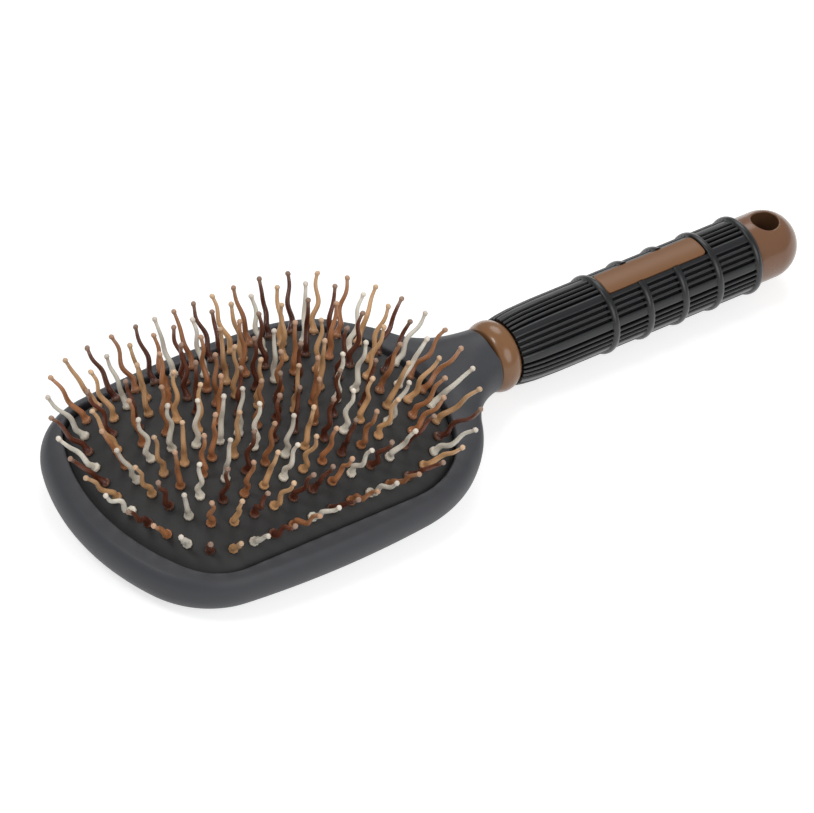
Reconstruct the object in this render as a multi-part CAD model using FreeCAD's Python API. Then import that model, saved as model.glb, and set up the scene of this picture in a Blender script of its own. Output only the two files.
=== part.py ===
"""Paddle detangling brush: air cushion head with wavy pins in four colours, and a ribbed grip.

The brush lies on its back with its pins up. X runs along the handle with the head at the low end,
Y runs across it, and Z points up from the surface that the brush lies on. All sizes are millimetres.
"""
import FreeCAD, Part
import math
import os

Vector = FreeCAD.Vector

# Lengths along the brush, each counted from the front end of the head
POCKET_FRONT = 7.0
POCKET_BACK = 113.8
PLATE_END = 128.0
NECK_ROOT = 104.0
NECK_END = 134.7
COLLAR_LENGTH = 6.9
FIRST_BAND = 173.2
BAND_PITCH = 12.3
BAND_COUNT = 5
LAST_BAND_EXTRA = 1.6
GRIP_TAIL = 1.3
CAP_STRAIGHT = 8.2
HANGING_HOLE_INSET = 0.4

# Paddle outline, seen from above
RIM_SIDE_WIDTH = 6.4
WIDEST_STATION = 57.5
FRONT_RADIUS = 67.9
FRONT_CORNER_RADIUS = 26.8
SIDE_RADIUS = 284.0
SHOULDER_RADIUS = 41.2
NECK_CURVE_RADIUS = 21.7
NECK_CURVE_STATION = 138.7
NECK_CURVE_HALF_WIDTH = 9.2

# Paddle heights above the surface that it lies on
AXIS_HEIGHT = 11.7
WAIST_LEVEL = 9.7
LIP_LEVEL = 13.9
RIM_TOP_LEVEL = 14.8
RIM_TOP_INSET = 4.4
RIM_LIP_SLOPE = 0.7
BACK_ROUND_WIDTH = 6.8
BACK_EDGE_LEVEL = 1.5
CROWN_EDGE_INSET = 0.6
BACK_FLAT_INSET = 20.6
NECK_RADIUS = 9.2

# Pocket for the cushion, and the cushion itself
POCKET_WIDTH = 75.8
RIM_FRONT_STEP = 6.2
POCKET_FRONT_CORNER = 16.5
POCKET_BACK_RADIUS = 47.0
POCKET_BACK_CORNER = 27.0
LIP_THICKNESS = 1.8
BEAD_WIDTH = 1.6
BEAD_HEIGHT = 2.8
POCKET_LEDGE = 1.2
CHAMBER_FLOOR = 3.5
CUSHION_CLEARANCE = 0.3
CUSHION_WALL = 1.2
CROWN_RISE = 8.2
CROWN_POWER = 3.3
VENT_RADIUS = 1.0

# Pins
PIN_LENGTH = 17.5
PIN_BASE_RADIUS = 0.92
PIN_TIP_RADIUS = 0.5
PIN_BALL_RADIUS = 0.8
PIN_WAVE = 1.0
PIN_WAVE_LENGTH = 11.0
PIN_STRAIGHT_FOOT = 3.6
FLANGE_RADIUS = 1.4
FLANGE_THICKNESS = 0.6
FLANGE_GAP = 0.6
STEM_RADIUS = 0.75
STEM_CLEARANCE = 0.3
KEEPER_RADIUS = 1.35
KEEPER_THICKNESS = 1.0
KEEPER_GAP = 1.05
PIN_PITCH = 6.4
EDGE_ROW_INSET = 5.1
ROW_COUNT = 6
FAN_ANGLE = 42.0
FAN_POWER = 1.8

# Handle
TANG_RADIUS = 7.6
GLUE_GAP = 0.05
SEAM_GAP = 0.15
COLLAR_EDGE_RADIUS = 9.2
COLLAR_CREST_RADIUS = 10.4
GRIP_RADIUS = 11.0
GRIP_START_RADIUS = 9.9
GRIP_SWELL_LENGTH = 14.0
BAND_RADIUS = 11.7
BAND_WIDTH = 2.2
FLUTE_GROUPS = 8
FLUTES_IN_GROUP = 4
FLUTE_WIDTH = 0.85
FLUTE_DEPTH = 0.8
FLUTE_END_GAP = 0.7
BADGE_SEAT_DEPTH = 1.1
BADGE_PROUD = 0.35
BADGE_HALF_ANGLE = 21.0
BADGE_GAP = 0.25
BADGE_CORNER = 1.2
CAP_RADIUS = 10.0
CAP_SPIGOT_RADIUS = 5.4
CAP_SPIGOT_LENGTH = 9.0
HANGING_HOLE_RADIUS = 4.0
HANGING_HOLE_ROUND = 0.6
OVERRUN = 5.0

# Shape tables: shares of the sizes that they follow, and turns that have no length
NECK_ROOT_WIDTH_SHARE = 2.20
NECK_END_WIDTH_SHARE = 1.02
NECK_ROOT_TOP_SHARE = 0.33
NECK_ROOT_BOTTOM_SHARE = 0.86
NECK_END_BOTTOM_SHARE = 0.79
NECK_STEPS = 10
ROUND_STEPS = 5
CROWN_STEPS = 8
CROWN_TOP_SHARE = 0.04
BACK_CROWN_SHARES = ((0.0, 0.0), (0.15, 0.27), (0.30, 0.51), (0.48, 0.73), (0.70, 0.91), (1.0, 1.0))
GRIP_SWELL_SHARES = ((0.15, 0.40), (0.45, 0.78), (1.0, 1.0))
WAVE_STEPS = 12
WAVE_FADE_SHARE = 0.3
GOLDEN_TURN = 137.5
FULL_TURN = 360.0
FIRST_PIN_SHARES = (0.003, 0.010, 0.004, 0.012, 0.006, 0.5)
COLOURS = {"c": "cream", "t": "tan", "k": "caramel", "b": "brown"}
ROW_COLOURS = (
    "ckbctbcbcktbkbckbtkbbtktbckkctbctbkckbckbctb",
    "cbtcktbtctkbcbtctcbctbctkkbcbckbbtbtk",
    "cktckbtkbktkbtbkbtktctkbktctkb",
    "ktcktbktbcktbcbtcbtckbc",
    "kctkbtkbtcbkbbct",
    "cckbtk",
)
ROW_BODIES = ("row1", "row2", "row3", "centre", "centre", "centre")

# Sizes and stations worked out from the lengths above
HEAD_WIDTH = POCKET_WIDTH + 2 * RIM_SIDE_WIDTH
POCKET_FRONT_RADIUS = FRONT_RADIUS - RIM_FRONT_STEP
LAST_BAND = FIRST_BAND + (BAND_COUNT - 1) * BAND_PITCH + LAST_BAND_EXTRA
GRIP_START = NECK_END + COLLAR_LENGTH
GRIP_END = LAST_BAND + GRIP_TAIL
DOME_STATION = GRIP_END + CAP_STRAIGHT
OVERALL_LENGTH = DOME_STATION + CAP_RADIUS
HOLE_STATION = DOME_STATION - HANGING_HOLE_INSET


def at(station):
    """X of a station counted from the front end, with the brush centred on X zero."""
    return station - OVERALL_LENGTH / 2


def arc_edge(centre, start, end):
    """Arc of less than half a turn about a centre, from one point to another."""
    a = start - centre
    b = end - centre
    middle = a + b
    middle.normalize()
    return Part.Arc(start, centre + middle * a.Length, end).toShape()


def on_line(centre, towards, distance):
    """Point at a distance from a centre, on the line towards another point."""
    direction = towards - centre
    direction.normalize()
    return centre + direction * distance


def circle_meeting(c1, r1, c2, r2, side):
    """One of the two points at distance r1 from c1 and r2 from c2; side is 1 or -1."""
    span = c2 - c1
    distance = span.Length
    along = (r1 * r1 - r2 * r2 + distance * distance) / (2 * distance)
    across = math.sqrt(r1 * r1 - along * along)
    unit = span / distance
    normal = Vector(-unit.y, unit.x, 0)
    return c1 + unit * along + normal * (across * side)


def mirrored(point):
    """The same point on the other side of the brush."""
    return Vector(point.x, -point.y, point.z)


def paddle_centres():
    """Centres of the arcs in the paddle outline, for the side with positive Y."""
    half = HEAD_WIDTH / 2
    front = Vector(at(0) + FRONT_RADIUS, 0, 0)
    side = Vector(at(WIDEST_STATION), half - SIDE_RADIUS, 0)
    neck = Vector(at(NECK_CURVE_STATION), NECK_CURVE_HALF_WIDTH + NECK_CURVE_RADIUS, 0)
    corner = circle_meeting(front, FRONT_RADIUS - FRONT_CORNER_RADIUS,
                            side, SIDE_RADIUS - FRONT_CORNER_RADIUS, -1)
    shoulder = circle_meeting(side, SIDE_RADIUS - SHOULDER_RADIUS,
                              neck, SHOULDER_RADIUS + NECK_CURVE_RADIUS, 1)
    return front, corner, side, shoulder, neck


def paddle_outline(inset, level):
    """Outline of the paddle, drawn in by an inset, with an open neck end closed by a line."""
    lift = Vector(0, 0, level)
    front, corner, side, shoulder, neck = [c + lift for c in paddle_centres()]
    nose = front - Vector(FRONT_RADIUS - inset, 0, 0)
    p1 = on_line(front, corner, FRONT_RADIUS - inset)
    p2 = on_line(side, corner, SIDE_RADIUS - inset)
    p3 = on_line(side, shoulder, SIDE_RADIUS - inset)
    p4 = on_line(shoulder, neck, SHOULDER_RADIUS - inset)
    reach = NECK_CURVE_STATION - PLATE_END
    neck_radius = NECK_CURVE_RADIUS + inset
    drop = math.sqrt(neck_radius * neck_radius - reach * reach)
    p5 = Vector(at(PLATE_END), neck.y - drop, level)
    edges = [
        Part.Arc(mirrored(p1), nose, p1).toShape(),
        arc_edge(corner, p1, p2),
        arc_edge(side, p2, p3),
        arc_edge(shoulder, p3, p4),
        arc_edge(neck, p4, p5),
        Part.LineSegment(p5, mirrored(p5)).toShape(),
        arc_edge(mirrored(neck), mirrored(p5), mirrored(p4)),
        arc_edge(mirrored(shoulder), mirrored(p4), mirrored(p3)),
        arc_edge(mirrored(side), mirrored(p3), mirrored(p2)),
        arc_edge(mirrored(corner), mirrored(p2), mirrored(p1)),
    ]
    return Part.Wire(edges)


def pad_end(tip, radius, corner, size, outwards):
    """Tip, tangent point and side point of one rounded end of the pocket, scaled by size."""
    half = POCKET_WIDTH / 2
    root = tip - half * outwards
    rise = half - corner
    run = math.sqrt((radius - corner) ** 2 - rise ** 2)
    arc_centre = half - radius
    corner_centre = arc_centre + run
    joint_x = arc_centre + radius * run / (radius - corner)
    joint_y = radius * rise / (radius - corner)
    diagonal = corner / math.hypot(joint_x - corner_centre, joint_y - rise)
    middle = Vector(joint_x - corner_centre, joint_y - rise + corner, 0)
    middle.normalize()
    places = [
        (half, 0),
        (joint_x, joint_y),
        (corner_centre + middle.x * corner * diagonal, rise + middle.y * corner * diagonal),
        (corner_centre, half),
    ]
    return [Vector(root + x * size * outwards, y * size, 0) for x, y in places]


def pad_outline(size, level):
    """Outline of the pocket, shrunk towards its middle line by a size from one to zero."""
    lift = Vector(0, 0, level)
    front = pad_end(at(POCKET_FRONT), POCKET_FRONT_RADIUS, POCKET_FRONT_CORNER, size, -1)
    back = pad_end(at(POCKET_BACK), POCKET_BACK_RADIUS, POCKET_BACK_CORNER, size, 1)
    f0, f1, f2, f3 = [p + lift for p in front]
    b0, b1, b2, b3 = [p + lift for p in back]
    edges = [
        Part.Arc(mirrored(f1), f0, f1).toShape(),
        Part.Arc(f1, f2, f3).toShape(),
        Part.LineSegment(f3, b3).toShape(),
        Part.Arc(b3, b2, b1).toShape(),
        Part.Arc(b1, b0, mirrored(b1)).toShape(),
        Part.Arc(mirrored(b1), mirrored(b2), mirrored(b3)).toShape(),
        Part.LineSegment(mirrored(b3), mirrored(f3)).toShape(),
        Part.Arc(mirrored(f3), mirrored(f2), mirrored(f1)).toShape(),
    ]
    return Part.Wire(edges)


def pad_size(inset):
    """Size of the pocket outline that lies an inset inside the pocket's edge."""
    return 1 - inset / (POCKET_WIDTH / 2)


def prism(outline, height):
    """Upright solid on a closed outline."""
    return Part.Face(outline).extrude(Vector(0, 0, height))


def lofted(wires, ruled=False):
    """Solid through a row of closed outlines, with its faces pointing outwards."""
    solid = Part.makeLoft(wires, True, ruled)
    if solid.Volume < 0:
        solid.reverse()
    return solid


def crown_level(size):
    """Height of the cushion's outer face where its outline has a given size."""
    return LIP_LEVEL + CROWN_RISE * (1 - size ** CROWN_POWER)


def turned(wire):
    """Solid turned about the handle's axis from a closed wire."""
    face = Part.Face(wire)
    solid = face.revolve(Vector(0, 0, AXIS_HEIGHT), Vector(1, 0, 0), FULL_TURN)
    return Part.Solid(solid.Shells[0]) if solid.ShapeType != "Solid" else solid


def tube(start, end, outer, inner):
    """Round tube on the handle's axis between two stations; inner zero makes a rod."""
    body = Part.makeCylinder(outer, end - start, Vector(at(start), 0, AXIS_HEIGHT), Vector(1, 0, 0))
    if inner == 0:
        return body
    hole = Part.makeCylinder(inner, end - start + 2 * OVERRUN,
                             Vector(at(start) - OVERRUN, 0, AXIS_HEIGHT), Vector(1, 0, 0))
    return body.cut(hole)


def neck_section(station, half_width, top, bottom):
    """Egg-shaped section across the neck: an upper and a lower half ellipse."""
    right = Vector(0, -1, 0)
    left = Vector(0, 1, 0)
    edges = []
    for start, end, height, side in ((right, left, top, 1), (left, right, bottom, -1)):
        half = Part.Arc(start, Vector(0, 0, side), end).toShape()
        matrix = FreeCAD.Matrix()
        matrix.scale(1, half_width, height)
        edges.append(half.transformGeometry(matrix))
    wire = Part.Wire(edges)
    wire.translate(Vector(at(station), 0, AXIS_HEIGHT))
    return wire


def paddle_plate():
    """Head of the paddle, from its rounded back edge up to the rim around the cushion."""
    levels = []
    for step in range(ROUND_STEPS, 0, -1):
        turn = math.radians(90.0 * step / ROUND_STEPS)
        drop = (WAIST_LEVEL - BACK_EDGE_LEVEL) * math.sin(turn)
        levels.append((BACK_ROUND_WIDTH * (1 - math.cos(turn)), WAIST_LEVEL - drop))
    for step in range(ROUND_STEPS + 1):
        turn = math.radians(90.0 * step / ROUND_STEPS)
        rise = (RIM_TOP_LEVEL - WAIST_LEVEL) * math.sin(turn)
        levels.append((RIM_TOP_INSET * (1 - math.cos(turn)), WAIST_LEVEL + rise))
    return lofted([paddle_outline(i, z) for i, z in levels])


def back_crown():
    """Slightly crowned back of the head, flat in the middle where it rests."""
    edge = pad_size(CROWN_EDGE_INSET)
    wires = [pad_outline(edge, CHAMBER_FLOOR)]
    for inset_share, drop_share in BACK_CROWN_SHARES:
        inset = CROWN_EDGE_INSET + (BACK_FLAT_INSET - CROWN_EDGE_INSET) * inset_share
        wires.append(pad_outline(pad_size(inset), BACK_EDGE_LEVEL * (1 - drop_share)))
    return lofted(wires[::-1], True)


def neck():
    """Neck that swells from the head into the round seat of the collar."""
    length = NECK_END - NECK_ROOT
    wires = []
    for step in range(NECK_STEPS + 1):
        along = step / NECK_STEPS
        rise = along * along * (3 - 2 * along)
        taper = math.cos(math.radians(90.0 * along))
        width = NECK_END_WIDTH_SHARE + (NECK_ROOT_WIDTH_SHARE - NECK_END_WIDTH_SHARE) * taper
        top = NECK_ROOT_TOP_SHARE + (1 - NECK_ROOT_TOP_SHARE) * rise
        bottom = NECK_ROOT_BOTTOM_SHARE + (NECK_END_BOTTOM_SHARE - NECK_ROOT_BOTTOM_SHARE) * along
        wires.append(neck_section(NECK_ROOT + length * along, NECK_RADIUS * width,
                                  NECK_RADIUS * top, AXIS_HEIGHT * bottom))
    return lofted(wires)


def rim_dip():
    """Space above the inner side of the rim, which rolls down from its top to the lip."""
    dip = RIM_TOP_LEVEL - LIP_LEVEL
    wires = []
    for step in range(ROUND_STEPS + 1):
        turn = math.radians(90.0 * step / ROUND_STEPS)
        spread = CUSHION_CLEARANCE + RIM_LIP_SLOPE * (1 - math.cos(turn))
        wires.append(pad_outline(pad_size(-spread), LIP_LEVEL + dip * math.sin(turn)))
    wires.append(pad_outline(pad_size(-spread), RIM_TOP_LEVEL + OVERRUN))
    return lofted(wires, True)


def pocket():
    """Space for the cushion: open mouth, groove under the lip, and the air chamber."""
    wall = POCKET_WIDTH / 2
    mouth = prism(pad_outline(1 + CUSHION_CLEARANCE / wall, LIP_LEVEL - LIP_THICKNESS),
                  LIP_THICKNESS + OVERRUN)
    groove_height = BEAD_HEIGHT + 2 * CUSHION_CLEARANCE
    groove_base = LIP_LEVEL - LIP_THICKNESS - groove_height
    groove = prism(pad_outline(1 + (BEAD_WIDTH + CUSHION_CLEARANCE) / wall, groove_base),
                   groove_height)
    chamber = prism(pad_outline(pad_size(POCKET_LEDGE), CHAMBER_FLOOR), groove_base - CHAMBER_FLOOR)
    vent = Part.makeCylinder(VENT_RADIUS, CHAMBER_FLOOR + 2 * OVERRUN,
                             Vector(at((POCKET_FRONT + POCKET_BACK) / 2), 0, -OVERRUN))
    return mouth.fuse([rim_dip(), groove, chamber, vent])


def paddle_body():
    """Moulded paddle: head, neck and the tang that runs inside the grip."""
    tang = tube(NECK_END - OVERRUN, GRIP_END, TANG_RADIUS, 0)
    socket = tube(GRIP_END - CAP_SPIGOT_LENGTH - SEAM_GAP, GRIP_END + OVERRUN,
                  CAP_SPIGOT_RADIUS + GLUE_GAP, 0)
    body = paddle_plate().fuse([back_crown(), neck(), tang])
    return body.cut(pocket().fuse(socket))


def cushion_skin(inset):
    """Closed form of the cushion, drawn in by an inset on its sides and its top."""
    wall = POCKET_WIDTH / 2
    sizes = [1 - (1 - CROWN_TOP_SHARE) * step / CROWN_STEPS for step in range(CROWN_STEPS + 1)]
    wires = [pad_outline(size - inset / wall * size, crown_level(size) - inset) for size in sizes]
    dome = lofted(wires)
    base = LIP_LEVEL - LIP_THICKNESS - CUSHION_CLEARANCE - BEAD_HEIGHT
    skirt = prism(pad_outline(pad_size(inset), base), LIP_LEVEL - inset - base)
    return dome.fuse(skirt)


def cushion(pins):
    """Rubber cushion: domed skin, bead under the lip, and a hole for every pin."""
    wall = POCKET_WIDTH / 2
    base = LIP_LEVEL - LIP_THICKNESS - CUSHION_CLEARANCE - BEAD_HEIGHT
    bead = prism(pad_outline(1 + BEAD_WIDTH / wall, base), BEAD_HEIGHT)
    hollow = cushion_skin(CUSHION_WALL)
    drain = prism(pad_outline(pad_size(CUSHION_WALL), base - OVERRUN), OVERRUN)
    solid = cushion_skin(0).fuse(bead).cut(hollow.fuse(drain))
    holes = []
    reach = CUSHION_WALL + KEEPER_GAP
    for place in pins:
        hole = Part.makeCylinder(STEM_RADIUS + STEM_CLEARANCE, 2 * reach, Vector(0, 0, -reach))
        hole.Placement = place
        holes.append(hole)
    return solid.cut(Part.makeCompound(holes))


def pin_wave(height):
    """Sideways offset of a pin's centre line at a height above the cushion."""
    ramp = min(1.0, height / PIN_STRAIGHT_FOOT)
    fade = 1 - WAVE_FADE_SHARE * (height / PIN_LENGTH) ** 2
    swing = math.sin(2 * math.pi * height / PIN_WAVE_LENGTH)
    return PIN_WAVE * ramp * ramp * fade * swing


def pin_shape():
    """One pin on the Z axis: keeper, stem, flange, wavy tapered shaft and ball tip."""
    foot = FLANGE_GAP + FLANGE_THICKNESS
    ball = PIN_LENGTH - PIN_BALL_RADIUS
    keeper_top = -CUSHION_WALL - KEEPER_GAP
    rings = []
    for step in range(WAVE_STEPS + 1):
        height = foot / 2 + (ball - foot / 2) * step / WAVE_STEPS
        radius = PIN_BASE_RADIUS + (PIN_TIP_RADIUS - PIN_BASE_RADIUS) * step / WAVE_STEPS
        middle = Vector(pin_wave(height), 0, height)
        rings.append(Part.Wire(Part.makeCircle(radius, middle, Vector(0, 0, 1))))
    shaft = lofted(rings)
    tip = Part.makeSphere(PIN_BALL_RADIUS, Vector(pin_wave(ball), 0, ball))
    flange = Part.makeCylinder(FLANGE_RADIUS, FLANGE_THICKNESS, Vector(0, 0, FLANGE_GAP))
    stem = Part.makeCylinder(STEM_RADIUS, foot - keeper_top, Vector(0, 0, keeper_top))
    keeper = Part.makeCylinder(KEEPER_RADIUS, KEEPER_THICKNESS,
                               Vector(0, 0, keeper_top - KEEPER_THICKNESS))
    return shaft.fuse([tip, flange, stem, keeper])


def row_size(row):
    """Size of the outline that a row of pins follows; row zero is the one at the edge."""
    edge = pad_size(EDGE_ROW_INSET)
    return edge * (1 - row / (ROW_COUNT - 1))


def points_along(row):
    """Even places along one row of pins, with the outward direction at each place."""
    size = row_size(row)
    spine_front = Vector(at(POCKET_FRONT) + POCKET_WIDTH / 2, 0, 0)
    spine_back = Vector(at(POCKET_BACK) - POCKET_WIDTH / 2, 0, 0)
    if size == 0:
        count = round((spine_back - spine_front).Length / PIN_PITCH) + 1
        step = (spine_back - spine_front) / (count - 1)
        return [(spine_front + step * i, Vector(0, 0, 0)) for i in range(count)]
    wire = pad_outline(size, 0)
    count = round(wire.Length / PIN_PITCH)
    first = FIRST_PIN_SHARES[row] * wire.Length
    places = []
    for index in range(count):
        point = point_on(wire, (first + wire.Length * index / count) % wire.Length)
        nearest = min(max(point.x, spine_front.x), spine_back.x)
        outward = point - Vector(nearest, 0, 0)
        outward.normalize()
        places.append((point, outward))
    return places


def point_on(wire, distance):
    """Point at a distance along a wire."""
    for edge in wire.OrderedEdges:
        if distance <= edge.Length:
            first, last = edge.ParameterRange
            if edge.Orientation == "Reversed":
                distance = edge.Length - distance
            return edge.valueAt(first + (last - first) * distance / edge.Length)
        distance -= edge.Length
    return wire.OrderedVertexes[0].Point


def pin_places():
    """Placement, row and colour letter of every pin."""
    places = []
    serial = 0
    for row in range(ROW_COUNT):
        letters = ROW_COLOURS[row]
        lean = FAN_ANGLE * (row_size(row) / row_size(0)) ** FAN_POWER
        for index, (point, outward) in enumerate(points_along(row)):
            serial += 1
            spin = FreeCAD.Rotation(Vector(0, 0, 1), GOLDEN_TURN * serial)
            tilt_axis = Vector(-outward.y, outward.x, 0)
            tilt = FreeCAD.Rotation()
            if outward.Length > 0:
                tilt = FreeCAD.Rotation(tilt_axis, lean)
            base = Vector(point.x, point.y, crown_level(row_size(row)))
            places.append((FreeCAD.Placement(base, tilt.multiply(spin)), row,
                           letters[index % len(letters)]))
    return places


def collar_ring():
    """Bulging ring between the neck and the grip."""
    low = AXIS_HEIGHT + TANG_RADIUS + GLUE_GAP
    start = at(NECK_END + SEAM_GAP)
    end = at(GRIP_START - SEAM_GAP)
    edge = AXIS_HEIGHT + COLLAR_EDGE_RADIUS
    crest = Vector((start + end) / 2, 0, AXIS_HEIGHT + COLLAR_CREST_RADIUS)
    a = Vector(start, 0, low)
    b = Vector(start, 0, edge)
    c = Vector(end, 0, edge)
    d = Vector(end, 0, low)
    edges = [
        Part.LineSegment(a, b).toShape(),
        Part.Arc(b, crest, c).toShape(),
        Part.LineSegment(c, d).toShape(),
        Part.LineSegment(d, a).toShape(),
    ]
    return turned(Part.Wire(edges))


def grip_skin(drop):
    """Smooth outside of the grip, lowered by a drop, as a solid without a bore."""
    swell = GRIP_RADIUS - GRIP_START_RADIUS
    points = [Vector(at(GRIP_START), 0, AXIS_HEIGHT + GRIP_START_RADIUS - drop)]
    for along, rise in GRIP_SWELL_SHARES:
        points.append(Vector(at(GRIP_START + GRIP_SWELL_LENGTH * along), 0,
                             AXIS_HEIGHT + GRIP_START_RADIUS + swell * rise - drop))
    curve = Part.BSplineCurve()
    curve.interpolate(points)
    last = Vector(at(GRIP_END), 0, AXIS_HEIGHT + GRIP_RADIUS - drop)
    axis_end = Vector(at(GRIP_END), 0, AXIS_HEIGHT)
    axis_start = Vector(at(GRIP_START), 0, AXIS_HEIGHT)
    edges = [
        curve.toShape(),
        Part.LineSegment(points[-1], last).toShape(),
        Part.LineSegment(last, axis_end).toShape(),
        Part.LineSegment(axis_end, axis_start).toShape(),
        Part.LineSegment(axis_start, points[0]).toShape(),
    ]
    return turned(Part.Wire(edges))


def band_stations():
    """Stations of the raised bands; the last one stands a little further out."""
    stations = [FIRST_BAND + BAND_PITCH * index for index in range(BAND_COUNT)]
    stations[-1] += LAST_BAND_EXTRA
    return stations


def raised_bands():
    """Rounded bands around the grip."""
    bands = []
    for station in band_stations():
        low = AXIS_HEIGHT + GRIP_RADIUS - FLUTE_DEPTH
        edge = AXIS_HEIGHT + GRIP_RADIUS
        start = at(station - BAND_WIDTH / 2)
        end = at(station + BAND_WIDTH / 2)
        a = Vector(start, 0, low)
        b = Vector(start, 0, edge)
        c = Vector(end, 0, edge)
        d = Vector(end, 0, low)
        crest = Vector(at(station), 0, AXIS_HEIGHT + BAND_RADIUS)
        edges = [
            Part.LineSegment(a, b).toShape(),
            Part.Arc(b, crest, c).toShape(),
            Part.LineSegment(c, d).toShape(),
            Part.LineSegment(d, a).toShape(),
        ]
        bands.append(turned(Part.Wire(edges)))
    return bands


def flute_angles():
    """Angles of the flutes from straight up: groups of four with a wide rib between."""
    group = FULL_TURN / FLUTE_GROUPS
    pitch = group / (FLUTES_IN_GROUP + 1)
    angles = []
    for index in range(FLUTE_GROUPS):
        for flute in range(FLUTES_IN_GROUP):
            angles.append(group * index + pitch * (flute - (FLUTES_IN_GROUP - 1) / 2))
    return angles


def flute_runs():
    """First and last station of every run of flutes between the bands."""
    stops = band_stations()
    runs = [(GRIP_START - OVERRUN, stops[0] - BAND_WIDTH / 2 - FLUTE_END_GAP / 2)]
    for here, there in zip(stops, stops[1:]):
        runs.append((here + BAND_WIDTH / 2 + FLUTE_END_GAP, there - BAND_WIDTH / 2))
    return runs


def flutes():
    """All flutes as cutting forms that follow the swell of the grip."""
    floor = grip_skin(FLUTE_DEPTH)
    badge_run = (FIRST_BAND, FIRST_BAND + BAND_PITCH * (BAND_COUNT - 2))
    cutters = []
    for start, end in flute_runs():
        under_badge = badge_run[0] < (start + end) / 2 < badge_run[1]
        plates = []
        for angle in flute_angles():
            centred = (angle + FULL_TURN / 2) % FULL_TURN - FULL_TURN / 2
            if under_badge and abs(centred) < BADGE_HALF_ANGLE:
                continue
            plate = Part.makeBox(end - start, FLUTE_WIDTH, BAND_RADIUS + OVERRUN,
                                 Vector(at(start), -FLUTE_WIDTH / 2, AXIS_HEIGHT + TANG_RADIUS))
            plate.rotate(Vector(0, 0, AXIS_HEIGHT), Vector(1, 0, 0), angle)
            plates.append(plate)
        cutters.append(Part.makeCompound(plates).cut(floor))
    return Part.makeCompound(cutters)


def badge_sector(inner, outer, gap):
    """Curved slab over the top of the grip, between the first and the fourth band."""
    start = FIRST_BAND + BAND_WIDTH / 2 - gap
    end = FIRST_BAND + BAND_PITCH * (BAND_COUNT - 2) - BAND_WIDTH / 2 + gap
    slab = tube(start, end, outer, inner)
    widen = math.degrees(gap / GRIP_RADIUS)
    half = math.radians(BADGE_HALF_ANGLE + widen)
    reach = outer + OVERRUN
    corners = [
        Vector(at(start), 0, AXIS_HEIGHT),
        Vector(at(start), -reach * math.tan(half), AXIS_HEIGHT + reach),
        Vector(at(start), reach * math.tan(half), AXIS_HEIGHT + reach),
        Vector(at(start), 0, AXIS_HEIGHT),
    ]
    wedge = Part.Face(Part.makePolygon(corners)).extrude(Vector(end - start, 0, 0))
    sector = slab.common(wedge)
    corner_edges = []
    for edge in sector.Edges:
        ends = [v.Point for v in edge.Vertexes]
        if len(ends) == 2 and abs(ends[0].x - ends[1].x) < GLUE_GAP:
            rise = abs(math.hypot(ends[0].y, ends[0].z - AXIS_HEIGHT)
                       - math.hypot(ends[1].y, ends[1].z - AXIS_HEIGHT))
            if rise > GLUE_GAP:
                corner_edges.append(edge)
    return sector.makeFillet(BADGE_CORNER + gap, corner_edges)


def grip_sleeve():
    """Rubber sleeve with raised bands, groups of flutes and a seat for the badge plate."""
    floor = GRIP_RADIUS - BADGE_SEAT_DEPTH
    seat = badge_sector(floor, BAND_RADIUS + OVERRUN, BADGE_GAP)
    bore = tube(GRIP_START - OVERRUN, GRIP_END + OVERRUN, TANG_RADIUS + GLUE_GAP, 0)
    fluted = grip_skin(0).cut(flutes())
    return fluted.fuse(raised_bands()).cut(seat.fuse(bore))


def badge_plate():
    """Plain curved plate in its seat on the grip, without any lettering."""
    inner = GRIP_RADIUS - BADGE_SEAT_DEPTH + GLUE_GAP
    return badge_sector(inner, GRIP_RADIUS + BADGE_PROUD, 0)


def end_cap():
    """Domed end cap with its spigot and the hanging hole through it."""
    start = at(GRIP_END + SEAM_GAP)
    top = Vector(at(DOME_STATION), 0, AXIS_HEIGHT + CAP_RADIUS)
    low = Vector(start, 0, AXIS_HEIGHT)
    high = Vector(start, 0, AXIS_HEIGHT + CAP_RADIUS)
    tip = Vector(at(OVERALL_LENGTH), 0, AXIS_HEIGHT)
    centre = Vector(at(DOME_STATION), 0, AXIS_HEIGHT)
    edges = [
        Part.LineSegment(low, high).toShape(),
        Part.LineSegment(high, top).toShape(),
        arc_edge(centre, top, tip),
        Part.LineSegment(tip, low).toShape(),
    ]
    dome = turned(Part.Wire(edges))
    spigot = tube(GRIP_END - CAP_SPIGOT_LENGTH, GRIP_END + OVERRUN, CAP_SPIGOT_RADIUS, 0)
    hole = Part.makeCylinder(HANGING_HOLE_RADIUS, 2 * (CAP_RADIUS + OVERRUN),
                             Vector(at(HOLE_STATION), 0, AXIS_HEIGHT - CAP_RADIUS - OVERRUN))
    cap = dome.fuse(spigot).cut(hole)
    mouths = []
    for edge in cap.Edges:
        box = edge.BoundBox
        middle = box.Center
        near_axis = math.hypot(middle.x - at(HOLE_STATION), middle.y) < HANGING_HOLE_RADIUS / 2
        wide = box.YLength > HANGING_HOLE_RADIUS and box.XLength > HANGING_HOLE_RADIUS
        if near_axis and wide and abs(middle.z - AXIS_HEIGHT) > CAP_RADIUS / 2:
            mouths.append(edge)
    return cap.makeFillet(HANGING_HOLE_ROUND, mouths)


def single(shape):
    """The one solid in a shape, cleaned of needless seams."""
    refined = shape.removeSplitter()
    return refined.Solids[0] if len(refined.Solids) == 1 else refined


def save(name, shape):
    """Write one node and print its solids and volume."""
    shape.exportStep("parts/" + name + ".step")
    print(name, len(shape.Solids), "solids", round(shape.Volume, 1), "valid", shape.isValid())


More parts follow.
